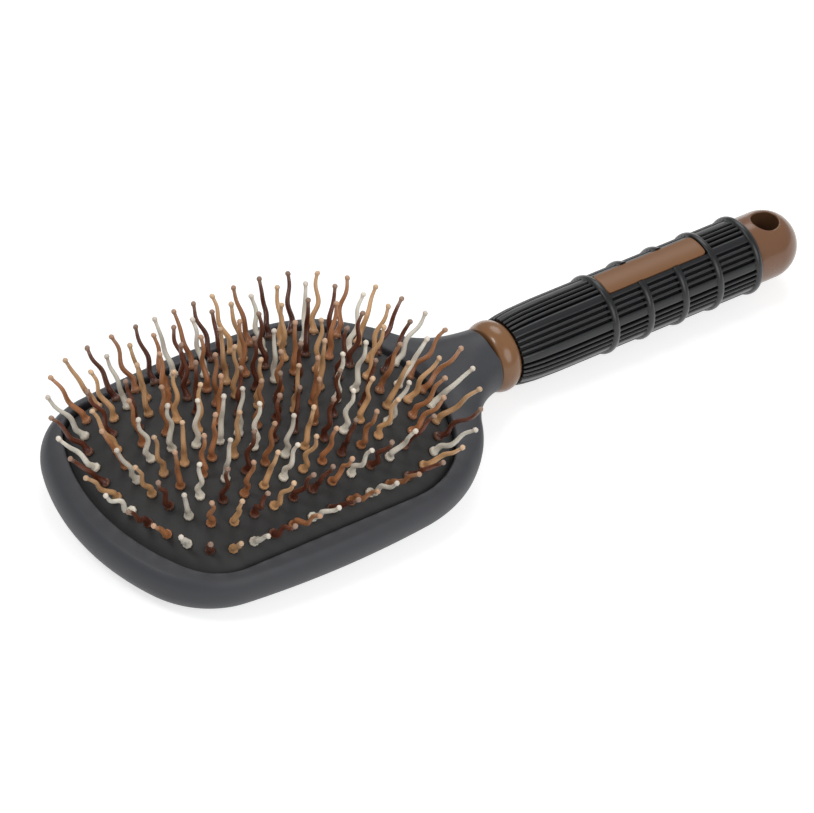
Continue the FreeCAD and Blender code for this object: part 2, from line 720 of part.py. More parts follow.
def main():
    os.makedirs("parts", exist_ok=True)
    pins = pin_places()
    save("paddle_body", single(paddle_body()))
    save("cushion", single(cushion([place for place, row, letter in pins])))
    save("collar_ring", single(collar_ring()))
    save("grip_sleeve", single(grip_sleeve()))
    save("badge_plate", single(badge_plate()))
    save("end_cap", single(end_cap()))
    pin = single(pin_shape())
    groups = {}
    for place, row, letter in pins:
        copy = pin.copy()
        copy.Placement = place
        groups.setdefault("pins_" + ROW_BODIES[row] + "_" + COLOURS[letter], []).append(copy)
    for name in sorted(groups):
        save(name, Part.makeCompound(groups[name]))


main()
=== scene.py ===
"""Paddle detangling brush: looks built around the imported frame.

All outlines and profiles are worked out in millimetres, and meshes are written in metres.
"""

import math

import bmesh
import bpy
from mathutils import Matrix, Quaternion, Vector
from mathutils.geometry import delaunay_2d_cdt


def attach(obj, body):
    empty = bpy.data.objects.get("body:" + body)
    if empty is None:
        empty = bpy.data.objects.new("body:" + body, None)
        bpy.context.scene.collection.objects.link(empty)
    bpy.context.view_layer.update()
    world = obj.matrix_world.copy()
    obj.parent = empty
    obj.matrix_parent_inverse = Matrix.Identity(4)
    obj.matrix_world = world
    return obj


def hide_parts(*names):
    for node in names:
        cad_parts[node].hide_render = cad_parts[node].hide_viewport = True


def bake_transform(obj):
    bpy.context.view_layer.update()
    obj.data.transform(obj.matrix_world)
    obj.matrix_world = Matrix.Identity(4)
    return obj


bl_info = {
    "name": "Detangling brush",
    "version": (1, 0, 0),
    "blender": (4, 5, 0),
    "location": "View3D > Sidebar > Brush",
    "description": "Paddle brush with air cushion, wavy pins, ribbed grip and end cap",
    "category": "Add Mesh",
}

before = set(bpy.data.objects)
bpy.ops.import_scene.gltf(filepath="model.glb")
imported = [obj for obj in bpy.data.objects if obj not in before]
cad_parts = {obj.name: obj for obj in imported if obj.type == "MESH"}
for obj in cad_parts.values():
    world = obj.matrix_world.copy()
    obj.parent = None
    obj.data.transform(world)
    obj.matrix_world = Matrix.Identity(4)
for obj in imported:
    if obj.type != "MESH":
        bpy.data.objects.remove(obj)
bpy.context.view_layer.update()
MM = 0.001
TINY = 1e-6
HALF_TURN = math.pi
FULL_TURN = math.tau

# Stations along the brush, counted from the front end of the head
POCKET_FRONT = 7.0
POCKET_BACK = 113.8
NECK_START = 100.0
NECK_END = 134.7
NECK_ROUND_FROM = 104.0
NECK_RISE_FROM = 106.0
COLLAR_END = 141.6
FIRST_BAND = 173.2
BAND_PITCH = 12.3
BAND_COUNT = 5
LAST_BAND_EXTRA = 1.6
GRIP_END = 225.3
DOME_STATION = 233.5
OVERALL_LENGTH = 243.5
HOLE_STATION = 233.1

# Paddle outline and heights
HEAD_WIDTH = 88.6
WIDEST_STATION = 57.5
FRONT_RADIUS = 67.9
FRONT_CORNER_RADIUS = 26.8
SIDE_RADIUS = 284.0
SHOULDER_RADIUS = 41.2
NECK_CURVE_RADIUS = 21.7
NECK_CURVE_STATION = 138.7
NECK_CURVE_HALF_WIDTH = 9.2
NECK_RADIUS = 9.2
AXIS_HEIGHT = 11.7
WAIST_LEVEL = 9.7
LIP_LEVEL = 13.9
RIM_TOP_LEVEL = 14.8
RIM_TOP_INSET = 4.4
RIM_LIP_SLOPE = 0.7
BACK_ROUND_WIDTH = 6.8
BACK_EDGE_LEVEL = 1.5
NECK_BOTTOM_LEVEL = 2.4
VENT_RADIUS = 1.0
VENT_CHAMFER = 0.3
VENT_FLAT_WIDTH = 1.2
# Insets from the pocket's edge with the levels that the back has there
CROWN_TABLE = ((0.6, 1.5), (3.6, 1.095), (6.6, 0.735), (10.2, 0.405), (14.6, 0.135), (20.6, 0.0))

# Pocket and cushion
POCKET_HALF = 37.9
POCKET_FRONT_RADIUS = 61.7
POCKET_FRONT_CORNER = 16.5
POCKET_BACK_RADIUS = 47.0
POCKET_BACK_CORNER = 27.0
POCKET_FLOOR = 3.5
POCKET_LEDGE_LEVEL = 9.0
POCKET_MIDDLE_INSETS = (20, 29)
CUSHION_GAP = 0.3
CUSHION_WALL = 1.2
CUSHION_BEAD_HEIGHT = 4.6
CUSHION_EDGE_ROUND = 0.15
CROWN_RISE = 8.2
CROWN_POWER = 3.3

# Pins
PIN_LENGTH = 17.5
PIN_BASE_RADIUS = 0.92
PIN_TIP_RADIUS = 0.5
PIN_BALL_RADIUS = 0.8
PIN_PITCH = 6.4
EDGE_ROW_INSET = 5.1
ROW_COUNT = 6
FAN_ANGLE = 42.0
FAN_POWER = 1.8
GOLDEN_TURN = 137.5
FIRST_PIN_SHARES = (0.003, 0.010, 0.004, 0.012, 0.006, 0.5)
STEM_RADIUS = 0.75
KEEPER_RADIUS = 1.35
KEEPER_DEPTH = 3.2
KEEPER_HEIGHT = 0.95
KEEPER_CHAMFER = 0.15
KEEPER_CORE = 0.01
FLANGE_TOP = 1.15
SHAFT_END_BELOW_BALL = 0.45
# Radius and height of the flange's rounded side
FLANGE_TABLE = ((1.25, 0.04), (1.4, 0.2), (1.4, 0.85), (1.3, 1.02), (1.12, FLANGE_TOP))
COLOURS = {"c": "cream", "t": "tan", "k": "caramel", "b": "brown"}
ROW_COLOURS = (
    "ckbctbcbcktbkbckbtkbbtktbckkctbctbkckbckbctb",
    "cbtcktbtctkbcbtctcbctbctkkbcbckbbtbtk",
    "cktckbtkbktkbtbkbtktctkbktctkb",
    "ktcktbktbcktbcbtcbtckbc",
    "kctkbtkbtcbkbbct",
    "cckbtk",
)
ROW_BODIES = ("row1", "row2", "row3", "centre", "centre", "centre")

# Handle
TANG_RADIUS = 7.6
TANG_GAP = 0.05
SEAM_GAP = 0.15
COLLAR_EDGE_RADIUS = 9.2
COLLAR_CREST_RADIUS = 10.4
COLLAR_EDGE_ROUND = 0.3
GRIP_RADIUS = 11.0
# Distance from the collar with the grip's radius there
GRIP_SWELL = ((0.0, 9.9), (2.1, 10.34), (6.3, 10.76), (14.0, GRIP_RADIUS))
BAND_WIDTH = 2.2
FLUTE_WIDTH = 0.85
FLUTE_END_GAP = 0.7
FLUTE_START_GAP = 0.1
FLUTE_PLAIN_SHARE = 0.35
SHORTEST_FLUTE = 2
BADGE_HALF_ANGLE = 21.0
BADGE_SEAT_RADIUS = 9.95
BADGE_PROUD = 0.35
BADGE_GAP = 0.25
BADGE_CORNER = 1.2
BADGE_LEAST_CORNER = 0.2
BADGE_LAST_BAND = 3
SEAT_TURN = math.radians(BADGE_HALF_ANGLE) + BADGE_GAP / GRIP_RADIUS
SEAT_SIDE_SHARE = 1.006
SEAT_WALL = 0.03
# Insets of the badge's rounded edge with the drop below its top
BADGE_EDGE_TABLE = ((0, 0.32), (0.06, 0.15), (0.15, 0.05), (0.32, 0), (0.9, 0))
CAP_RADIUS = 10.0
HOLE_RADIUS = 4.0
HOLE_ROUND = 0.6
SPIGOT_RADIUS = 5.4
SPIGOT_LENGTH = 9.0
SPIGOT_CHAMFER = 0.4
SPIGOT_CORE = 0.05
SPIGOT_OVERLAP = 0.1

# How finely the pieces are meshed
EDGE_STEPS = 10
RIM_TURN = 60
BACK_TURN = 68
LIP_STEPS = 6
CROWN_STEPS = 3
FILL_PITCH = 1.3
FILL_MARGIN = 0.9
FILL_CLEARANCE = 0.8
FIELD_ENDS = (2, 1)
FIELD_HALF = 30
BACK_MIDDLE_INSETS = (20.6, 24, 29)
VENT_SIDES = 24
CUSHION_STEP = 0.75
CUSHION_ROWS = 52
CUSHION_EDGE_INSETS = (0.12, 0.4, 0.75, 1.1, 1.5, 1.95)
CUSHION_EDGE_WIDTH = 2.4
CUSHION_UNDER_ROWS = 10
NEIGHBOUR_CELL = 6
PIN_LINE_STEP = 0.4
PIN_SIDES = 8
SHAFT_ROWS = 17
BALL_TURNS = (-48, -25, 0, 28, 55, 78)
SWELL_ROWS = 14
SWELL_REACH = 4
SWELL_END = 20
BAND_ROWS = 6
FLUTE_END_ROWS = 8
FLUTE_ROW_PITCH = 0.12
RIB_ANGLE_SHARES = (-1.7, -1.35, -1.1, -0.97, -0.8, -0.5, 0, 0.5, 0.8, 0.97, 1.1, 1.35, 1.7)
COLLAR_ROWS = 12
COLLAR_SIDES = 96
BADGE_STEP = 0.6
BADGE_FIELD = (40, 12)
BADGE_FIELD_MARGIN = 0.2
BADGE_CORNER_STEPS = 6
CAP_SIDE_STEPS = 36
CAP_END_STEPS = 24
CAP_FACE_ROWS = 24
HOLE_ROWS = 4
CAP_EDGE_SQUARE = 0.001
SPIGOT_SIDES = 48
NODE_SPACING = 200
MERGE_DISTANCE = 0.002
SMOOTH_LIMIT = 50
ROUND_SMOOTH_LIMIT = 60
SLEEVE_SMOOTH_LIMIT = 42

# Finishes: how far the colour and the gloss wander, and the fine grain
FINISHES = {
    "slate plastic": {"mottle": 0.10, "roughness": 0.50, "uneven": 0.10, "grain_scale": 2600,
                      "grain_depth": 0.012, "specular": 0.36},
    "cushion rubber": {"mottle": 0.25, "roughness": 0.62, "uneven": 0.15, "grain_scale": 1800,
                       "grain_depth": 0.02, "specular": 0.35},
    "grip rubber": {"mottle": 0.2, "roughness": 0.36, "uneven": 0.12, "grain_scale": 2200,
                    "grain_depth": 0.02, "specular": 0.2, "coat": 0.85, "coat_roughness": 0.36},
    "gloss brown": {"mottle": 0.16, "roughness": 0.26, "uneven": 0.10, "grain_scale": 1500,
                    "grain_depth": 0.006, "specular": 0.4, "coat": 0.25},
    "satin brown": {"mottle": 0.10, "roughness": 0.40, "uneven": 0.10, "grain_scale": 1800,
                    "grain_depth": 0.006, "specular": 0.35},
    "nylon": {"mottle": 0.25, "roughness": 0.3, "uneven": 0.1, "grain_scale": 2500},
}
COAT_ROUGHNESS = 0.1
CLOUD_SCALE = 90
# Painted shade: share of the colour left on the flutes' floors and on the hanging hole's wall
FLUTE_PAINTED_SHADE = 0.35
HOLE_PAINTED_SHADE = 0.45
HOLE_MASK_WIDTH = 0.4
BALL_FADE = (PIN_LENGTH - 3, PIN_LENGTH - 1)
FOOT_FADE = (1.2, 0.8)
BALL_PALENESS = 0.8
FOOT_PALENESS = 0.5
PALE_SHARE = 0.35
PALE_COLOUR = (0.85, 0.62, 0.45)
FOOT_GAMMA = 1.18
TIP_GAMMA = 0.88
PIN_BRIGHTNESS = (0.82, 1.15)
NYLON_CLOUDINESS = 0.12
NYLON_SPREAD = (1.0, 0.75, 0.55)
NYLON_DEPTH = 0.8
# What varies from pin to pin, with its lowest and highest value
PIN_VARIETY = (("swing", 0.7, 1.05), ("phase", -0.5, 0.5), ("kink", -0.22, 0.22),
               ("tint", 0.0, 1.0))
SEED_STEP = 10
TIP_CALM = -0.79
KINK_TURNS = 1.6

# Camera and studio: angles in degrees, the camera's lengths in millimetres, the rest in metres
CAMERA_AZIMUTH = -40.02
CAMERA_ELEVATION = 41.71
CAMERA_ROLL = 6.62
CAMERA_DISTANCE = 1940.53
CAMERA_TARGET = (-16.59, -4.95, 11.7)
CAMERA_FOCAL_PIXELS = 7039.19
PICTURE_WIDTH_PIXELS = 814
SENSOR_WIDTH = 36
CAMERA_RANGE = (0.1, 20)
FLOOR_HALF = 4
FLOOR_GAP = 0.05
FLOOR_GREY = 0.62
FLOOR_GLOW = 0.68
FLOOR_ROUGHNESS = 0.8
FLOOR_SPECULAR = 0.1
# Place and width of each lamp; its power is a property
LAMPS = {"key": ((-0.74, 0.2, 1.16), 0.44), "edge": ((0.55, 0.8, 1.15), 0.9),
         "fill": ((0.1, -1.2, 0.85), 1.1)}


def linear(red, green, blue):
    """Linear colour from a display colour counted from 0 to 255."""
    shares = [value / 255 for value in (red, green, blue)]
    return tuple(s / 12.92 if s <= 0.04045 else ((s + 0.055) / 1.055) ** 2.4 for s in shares)


def length_property(name, description, millimetres):
    """Length property whose default is given in millimetres."""
    return bpy.props.FloatProperty(name=name, description=description, unit="LENGTH",
                                   default=millimetres * MM, precision=5, min=0)


def colour_property(name, description, red, green, blue):
    """Colour property whose default is a display colour."""
    return bpy.props.FloatVectorProperty(name=name, description=description, subtype="COLOR",
                                         size=3, min=0, max=1, default=linear(red, green, blue))


class BrushPaddleSettings(bpy.types.PropertyGroup):
    """Sizes and colour of the moulded paddle."""
    rim_level: length_property("Rim height", "Top of the rim above the surface", RIM_TOP_LEVEL)
    rim_round: length_property("Rim rounding", "Width of the rim's outer rounding", RIM_TOP_INSET)
    step: length_property("Mesh step", "Distance between mesh points along the outline", 1.1)
    colour: colour_property("Colour", "Slate grey of the paddle", 69, 70, 74)


class BrushCushionSettings(bpy.types.PropertyGroup):
    """Sizes and colour of the air cushion."""
    rise: length_property("Crown", "How far the cushion rises above the lip", CROWN_RISE)
    dimple: length_property("Dimple", "Depth of the dimple around each pin", 0.3)
    dimple_width: length_property("Dimple width", "Spread of the dimple around each pin", 1.5)
    groove: length_property("Groove", "Depth of the cushion's edge below the lip", 1.6)
    groove_width: length_property("Groove width", "Width over which the edge drops", 1.6)
    colour: colour_property("Colour", "Near black of the rubber", 54, 54, 54)


class BrushPinSettings(bpy.types.PropertyGroup):
    """Sizes and colours of the pins."""
    wave: length_property("Wave", "Sideways swing of a pin's shaft", 1.0)
    wave_length: length_property("Wave length", "Length of one full wave", 11.0)
    straight_foot: length_property("Straight foot", "Height over which the wave builds up", 3.6)
    seed: bpy.props.IntProperty(name="Seed", description="Seed of the pins' variety", default=7)
    cream: colour_property("Cream", "Colour of the cream pins", 236, 231, 217)
    tan: colour_property("Tan", "Colour of the tan pins", 210, 167, 122)
    caramel: colour_property("Caramel", "Colour of the caramel pins", 176, 121, 82)
    brown: colour_property("Brown", "Colour of the brown pins", 102, 56, 38)


class BrushHandleSettings(bpy.types.PropertyGroup):
    """Sizes and colours of the grip, the collar, the badge plate and the cap."""
    flute_depth: length_property("Flute depth", "Depth of the flutes in the grip", 1.0)
    rib_round: bpy.props.FloatProperty(name="Rib rounding", subtype="FACTOR", default=0.3,
                                       min=0, max=1,
                                       description="Drop of a rib's edges as a share of the depth")
    band_height: length_property("Band height", "Height of the bands above the grip", 0.7)
    groups: bpy.props.IntProperty(name="Flute groups", description="Groups of flutes around",
                                  default=8, min=1)
    flutes: bpy.props.IntProperty(name="Flutes in a group", description="Flutes side by side",
                                  default=4, min=1)
    rubber: colour_property("Rubber", "Near black of the grip", 20, 21, 24)
    collar: colour_property("Collar", "Gloss brown of the collar", 138, 98, 64)
    cap: colour_property("Cap", "Gloss brown of the end cap", 126, 88, 62)
    badge: colour_property("Badge", "Satin brown of the badge plate", 132, 93, 62)


class BrushStageSettings(bpy.types.PropertyGroup):
    """Light and floor of the studio."""
    key: bpy.props.FloatProperty(name="Key light", description="Power of the key light",
                                 unit="POWER", default=4.4, min=0)
    fill: bpy.props.FloatProperty(name="Fill light", description="Power of the fill light",
                                  unit="POWER", default=7.6, min=0)
    edge: bpy.props.FloatProperty(name="Edge light", description="Power of the edge light",
                                  unit="POWER", default=5.5, min=0)
    sky: bpy.props.FloatProperty(name="Sky", description="Strength of the even light",
                                 default=0.36, min=0)


# Plane outlines
def at(station):
    """X in millimetres of a station counted from the front end."""
    return station - OVERALL_LENGTH / 2


def smooth(low, high, value):
    """Smooth step from 0 at low to 1 at high."""
    t = min(1, max(0, (value - low) / (high - low)))
    return t * t * (3 - 2 * t)


def circle_meeting(c1, r1, c2, r2, side):
    """One of the two points at distance r1 from c1 and r2 from c2; side is 1 or -1."""
    span = c2 - c1
    along = (r1 * r1 - r2 * r2 + span.length_squared) / (2 * span.length)
    across = math.sqrt(r1 * r1 - along * along)
    unit = span.normalized()
    return c1 + unit * along + Vector((-unit.y, unit.x)) * (across * side)


def angle_of(vector):
    """Direction of a plane vector as an angle from 0 to a full turn."""
    return math.atan2(vector.y, vector.x) % FULL_TURN


def arc_samples(centre, radius, start, end, step, sign=1):
    """Points of an arc with their outward normals, without the last point."""
    count = max(3, math.ceil(abs(end - start) * radius / step))
    samples = []
    for index in range(count):
        angle = start + (end - start) * index / count
        ray = Vector((math.cos(angle), math.sin(angle)))
        samples.append((centre + ray * radius, ray * sign))
    return samples


def paddle_samples(step):
    """Outline of the paddle from one side of the neck round the front to the other side."""
    front = Vector((at(0) + FRONT_RADIUS, 0))
    side = Vector((at(WIDEST_STATION), HEAD_WIDTH / 2 - SIDE_RADIUS))
    neck = Vector((at(NECK_CURVE_STATION), NECK_CURVE_HALF_WIDTH + NECK_CURVE_RADIUS))
    corner = circle_meeting(front, FRONT_RADIUS - FRONT_CORNER_RADIUS,
                            side, SIDE_RADIUS - FRONT_CORNER_RADIUS, -1)
    shoulder = circle_meeting(side, SIDE_RADIUS - SHOULDER_RADIUS,
                              neck, SHOULDER_RADIUS + NECK_CURVE_RADIUS, 1)
    reach = (NECK_END - NECK_CURVE_STATION) / NECK_CURVE_RADIUS
    joins = [HALF_TURN, angle_of(corner - front), angle_of(corner - side),
             angle_of(shoulder - side), angle_of(neck - shoulder)]
    if joins[4] > joins[3]:
        joins[4] -= FULL_TURN
    half = []
    for index, (centre, radius) in enumerate((
            (front, FRONT_RADIUS), (corner, FRONT_CORNER_RADIUS), (side, SIDE_RADIUS),
            (shoulder, SHOULDER_RADIUS))):
        half += arc_samples(centre, radius, joins[index], joins[index + 1], step)
    end = FULL_TURN - math.acos(reach)
    half += arc_samples(neck, NECK_CURVE_RADIUS, angle_of(shoulder - neck), end, step, -1)
    last = neck + Vector((math.cos(end), math.sin(end))) * NECK_CURVE_RADIUS
    half.append((last, Vector((0, 1))))
    flipped = [(Vector((p.x, -p.y)), Vector((n.x, -n.y))) for p, n in half[:0:-1]]
    return flipped + half


def inset_ring(samples, inset):
    """Outline drawn in by an inset, with its two ends kept on the end of the neck."""
    ring = [p - n * inset for p, n in samples]
    for point in (ring[0], ring[-1]):
        point.x = at(NECK_END)
    return ring


def half_width(samples, x):
    """Half the width of the outline at an X behind the widest place."""
    side = [p for p, n in samples if p.y > 0 and p.x > at(WIDEST_STATION)]
    for here, there in zip(side, side[1:]):
        if here.x <= x <= there.x:
            return here.y + (there.y - here.y) * (x - here.x) / (there.x - here.x)
    return side[-1].y if x > side[-1].x else HEAD_WIDTH / 2


def pocket_end(radius, corner, step):
    """Points of one end of the pocket from its tip to its side, counted from its root."""
    rise = POCKET_HALF - corner
    run = pocket_reach(radius, corner)
    turn = math.atan2(rise, run)
    middle = Vector((POCKET_HALF - radius, 0))
    tip = arc_samples(middle, radius, 0, turn, step)
    bend = arc_samples(middle + Vector((run, rise)), corner, turn, HALF_TURN / 2, step)
    return [p for p, n in tip + bend]


def pocket_reach(radius, corner):
    """Distance from the middle of an end arc to the middle of its corner, along the brush."""
    return math.sqrt((radius - corner) ** 2 - (POCKET_HALF - corner) ** 2)


def pocket_base(step):
    """Pocket outline as (root X, offset X, offset Y), and where its front arc starts.

    A size scales only the offsets.
    """
    front = at(POCKET_FRONT) + POCKET_HALF
    back = at(POCKET_BACK) - POCKET_HALF
    half = [(front, -p.x, p.y) for p in pocket_end(POCKET_FRONT_RADIUS, POCKET_FRONT_CORNER, step)]
    reach_front = pocket_reach(POCKET_FRONT_RADIUS, POCKET_FRONT_CORNER)
    reach_back = pocket_reach(POCKET_BACK_RADIUS, POCKET_BACK_CORNER)
    start = (front, -(POCKET_HALF - POCKET_FRONT_RADIUS + reach_front), POCKET_HALF)
    end = (back, POCKET_HALF - POCKET_BACK_RADIUS + reach_back, POCKET_HALF)
    count = math.ceil((end[0] + end[1] - start[0] - start[1]) / step)
    for index in range(count):
        t = index / count
        half.append(tuple(s + (e - s) * t for s, e in zip(start, end)))
    half.append(end)
    tail = [(back, p.x, p.y) for p in pocket_end(POCKET_BACK_RADIUS, POCKET_BACK_CORNER, step)]
    half += tail[::-1]
    whole = half + [(r, x, -y) for r, x, y in half[-2:0:-1]]
    rise = POCKET_HALF - POCKET_FRONT_CORNER
    turn = math.asin(rise / (POCKET_FRONT_RADIUS - POCKET_FRONT_CORNER))
    return whole, len(whole) - max(3, math.ceil(turn * POCKET_FRONT_RADIUS / step))


def pocket_ring(base, size):
    """Pocket outline at a size from one to zero."""
    return [Vector((root + x * size, y * size)) for root, x, y in base]


def size_at(inset):
    """Size of the pocket outline that lies an inset inside the pocket's edge."""
    return 1 - inset / POCKET_HALF


def inside(point, polygon):
    """Whether a plane point is inside a polygon."""
    found = False
    for a, b in zip(polygon, polygon[1:] + polygon[:1]):
        if (a.y > point.y) != (b.y > point.y):
            if point.x < a.x + (b.x - a.x) * (point.y - a.y) / (b.y - a.y):
                found = not found
    return found


def triangles(outer, hole, extra):
    """Triangles between an outer and an inner loop, as numbers of the points in that order."""
    flat = outer + hole + extra
    edges = []
    start = 0
    for loop in (outer, hole):
        edges += [(start + i, start + (i + 1) % len(loop)) for i in range(len(loop))]
        start += len(loop)
    made, _, faces, origins, _, _ = delaunay_2d_cdt(flat, edges, [], 0, TINY)
    kept = []
    for face in faces:
        middle = sum((made[i] for i in face), Vector((0, 0))) / 3
        if inside(middle, outer) and not (hole and inside(middle, hole)):
            kept.append([origins[i][0] for i in face])
    return kept


# Mesh making
class Form:
    """Mesh under construction, in millimetres."""

    def __init__(self):
        self.points = []
        self.faces = []

    def ring(self, points, level):
        """Add plane points at a level, a number or a function, and return their numbers."""
        first = len(self.points)
        for p in points:
            height = level(p) if callable(level) else level
            self.points.append((p[0], p[1], height))
        return list(range(first, len(self.points)))

    def add(self, points):
        """Add points in space and return their numbers."""
        first = len(self.points)
        self.points += [tuple(p) for p in points]
        return list(range(first, len(self.points)))

    def bridge(self, low, high, closed=True):
        """Quads between two rows of equal count."""
        pairs = len(low) if closed else len(low) - 1
        for i in range(pairs):
            j = (i + 1) % len(low)
            self.faces.append((low[i], low[j], high[j], high[i]))

    def skin(self, rings, closed=True):
        """Quads between every two neighbouring rows."""
        for low, high in zip(rings, rings[1:]):
            self.bridge(low, high, closed)

    def patch(self, outer, inner, extra, level):
        """Fill between an outer and an inner loop, with extra points between them."""
        flat = [[Vector(self.points[i][:2]) for i in loop] for loop in (outer, inner)]
        numbers = outer + inner + self.ring(extra, level)
        self.faces += [tuple(numbers[i] for i in face) for face in triangles(*flat, extra)]

    def build(self, name, material, sharp=SMOOTH_LIMIT):
        """Object with a clean mesh, outward faces and smooth shading."""
        mesh = bpy.data.meshes.new(name)
        mesh.from_pydata([Vector(p) * MM for p in self.points], [], self.faces)
        shape = bmesh.new()
        shape.from_mesh(mesh)
        bmesh.ops.remove_doubles(shape, verts=shape.verts, dist=MERGE_DISTANCE * MM)
        bmesh.ops.dissolve_degenerate(shape, edges=shape.edges, dist=MERGE_DISTANCE / 2 * MM)
        bmesh.ops.recalc_face_normals(shape, faces=shape.faces)
        shape.to_mesh(mesh)
        shape.free()
        mesh.shade_smooth()
        mesh.set_sharp_from_angle(angle=math.radians(sharp))
        mesh.materials.append(material)
        piece = bpy.data.objects.new(name, mesh)
        bpy.context.scene.collection.objects.link(piece)
        return piece


def finish_piece(piece, body, slot, *nodes):
    """Put a finished piece on its body and let it stand for its CAD nodes."""
    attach(piece, body)
    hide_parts(*nodes)


# Materials
def node(tree, kind, inputs=None, **settings):
    """New node with its settings, and its inputs linked or set."""
    made = tree.nodes.new(kind)
    made.location = (NODE_SPACING * len(tree.nodes), 0)
    for key, value in settings.items():
        setattr(made, key, value)
    for key, value in (inputs or {}).items():
        if isinstance(value, bpy.types.NodeSocket):
            tree.links.new(value, made.inputs[key])
        else:
            made.inputs[key].default_value = value
    return made


def maths(tree, operation, *values, clamp=False):
    """Output of a new Math node."""
    return node(tree, "ShaderNodeMath", dict(enumerate(values)), operation=operation,
                use_clamp=clamp).outputs[0]


def vector_maths(tree, operation, *values):
    """Output of a new Vector Math node."""
    return node(tree, "ShaderNodeVectorMath", dict(enumerate(values)),
                operation=operation).outputs[0]


def scaled(tree, vector, factor):
    """A vector or a colour times a factor."""
    return node(tree, "ShaderNodeVectorMath", {0: vector, "Scale": factor},
                operation="SCALE").outputs[0]


def ranged(tree, value, source, target):
    """A value carried from one range to another; without a source, from 0 to 1."""
    low, high = source or (0, 1)
    return node(tree, "ShaderNodeMapRange", {
        "Value": value, "From Min": low, "From Max": high, "To Min": target[0],
        "To Max": target[1]}).outputs[0]


def read(tree, label, kind="FLOAT"):
    """Output of a Named Attribute node in a geometry tree."""
    return node(tree, "GeometryNodeInputNamedAttribute", {"Name": label},
                data_type=kind).outputs[0]


def shader_read(tree, label):
    """Output of an Attribute node in a material."""
    return node(tree, "ShaderNodeAttribute", {}, attribute_name=label).outputs["Fac"]


def store(tree, geometry, label, value, kind="FLOAT"):
    """Geometry with a value stored on its points."""
    return node(tree, "GeometryNodeStoreNamedAttribute", {
        "Geometry": geometry, "Name": label, "Value": value}, data_type=kind,
        domain="POINT").outputs[0]


def paint(tree, geometry, entry, leave):
    """End a geometry tree with its material."""
    painted = node(tree, "GeometryNodeSetMaterial", {"Geometry": geometry,
                                                     "Material": entry.outputs["Material"]})
    tree.links.new(painted.outputs[0], leave.inputs[0])


def new_group(name, kind, inputs, outputs):
    """Node group with named sockets; returns the tree, its input node and its output node."""
    tree = bpy.data.node_groups.new(name, kind)
    for label, socket, value in inputs:
        made = tree.interface.new_socket(label, in_out="INPUT", socket_type=socket)
        if value is not None:
            made.default_value = value
    for label, socket in outputs:
        tree.interface.new_socket(label, in_out="OUTPUT", socket_type=socket)
    return tree, tree.nodes.new("NodeGroupInput"), tree.nodes.new("NodeGroupOutput")


def moulded_surface():
    """Shader group: faint mottling, uneven gloss and a fine grain for moulded pieces."""
    name = "Moulded surface"
    if name in bpy.data.node_groups:
        return bpy.data.node_groups[name]
    tree, entry, leave = new_group(name, "ShaderNodeTree", [
        ("Color", "NodeSocketColor", (0.5, 0.5, 0.5, 1)),
        ("Mottle", "NodeSocketFloat", 0.1),
        ("Roughness", "NodeSocketFloat", 0.5),
        ("Uneven gloss", "NodeSocketFloat", 0.08),
        ("Grain scale", "NodeSocketFloat", 3000),
    ], [
        ("Color", "NodeSocketColor"),
        ("Roughness", "NodeSocketFloat"),
        ("Height", "NodeSocketFloat"),
    ])
    place = node(tree, "ShaderNodeTexCoord").outputs["Object"]
    cloud = node(tree, "ShaderNodeTexNoise", {"Vector": place, "Scale": CLOUD_SCALE,
                                              "Detail": 4, "Roughness": 0.6})
    grain = node(tree, "ShaderNodeTexNoise", {"Vector": place,
                                              "Scale": entry.outputs["Grain scale"], "Detail": 2})
    offset = maths(tree, "SUBTRACT", cloud.outputs["Fac"], 0.5)
    change = maths(tree, "MULTIPLY_ADD", offset, entry.outputs["Mottle"], 1)
    gloss = maths(tree, "MULTIPLY_ADD", offset, entry.outputs["Uneven gloss"],
                  entry.outputs["Roughness"])
    tree.links.new(scaled(tree, entry.outputs["Color"], change), leave.inputs["Color"])
    tree.links.new(gloss, leave.inputs["Roughness"])
    tree.links.new(grain.outputs["Fac"], leave.inputs["Height"])
    return tree


def new_material(name, colour):
    """Material with a Principled shader; returns material, tree and shader."""
    material = bpy.data.materials.new(name)
    material.use_nodes = True
    material.diffuse_color = (*colour, 1)
    return material, material.node_tree, material.node_tree.nodes["Principled BSDF"]


def surface_node(tree, colour, finish):
    """The shared surface group with one finish's values."""
    group = node(tree, "ShaderNodeGroup", {}, node_tree=moulded_surface())
    for key, value in (("Color", (*colour, 1)), ("Mottle", finish["mottle"]),
                       ("Roughness", finish["roughness"]), ("Uneven gloss", finish["uneven"]),
                       ("Grain scale", finish["grain_scale"])):
        group.inputs[key].default_value = value
    return group


def moulded_material(name, colour, finish_name):
    """Material of a moulded piece in plastic or rubber."""
    colour = tuple(colour)
    finish = FINISHES[finish_name]
    material, tree, shader = new_material(name, colour)
    group = surface_node(tree, colour, finish)
    grain = node(tree, "ShaderNodeBump", {"Height": group.outputs["Height"], "Strength": 1,
                                          "Distance": finish["grain_depth"] * MM})
    tree.links.new(group.outputs["Color"], shader.inputs["Base Color"])
    tree.links.new(group.outputs["Roughness"], shader.inputs["Roughness"])
    tree.links.new(grain.outputs["Normal"], shader.inputs["Normal"])
    shader.inputs["Specular IOR Level"].default_value = finish["specular"]
    shader.inputs["Coat Weight"].default_value = finish.get("coat", 0)
    shader.inputs["Coat Roughness"].default_value = finish.get("coat_roughness",
                                                               COAT_ROUGHNESS)
    return material


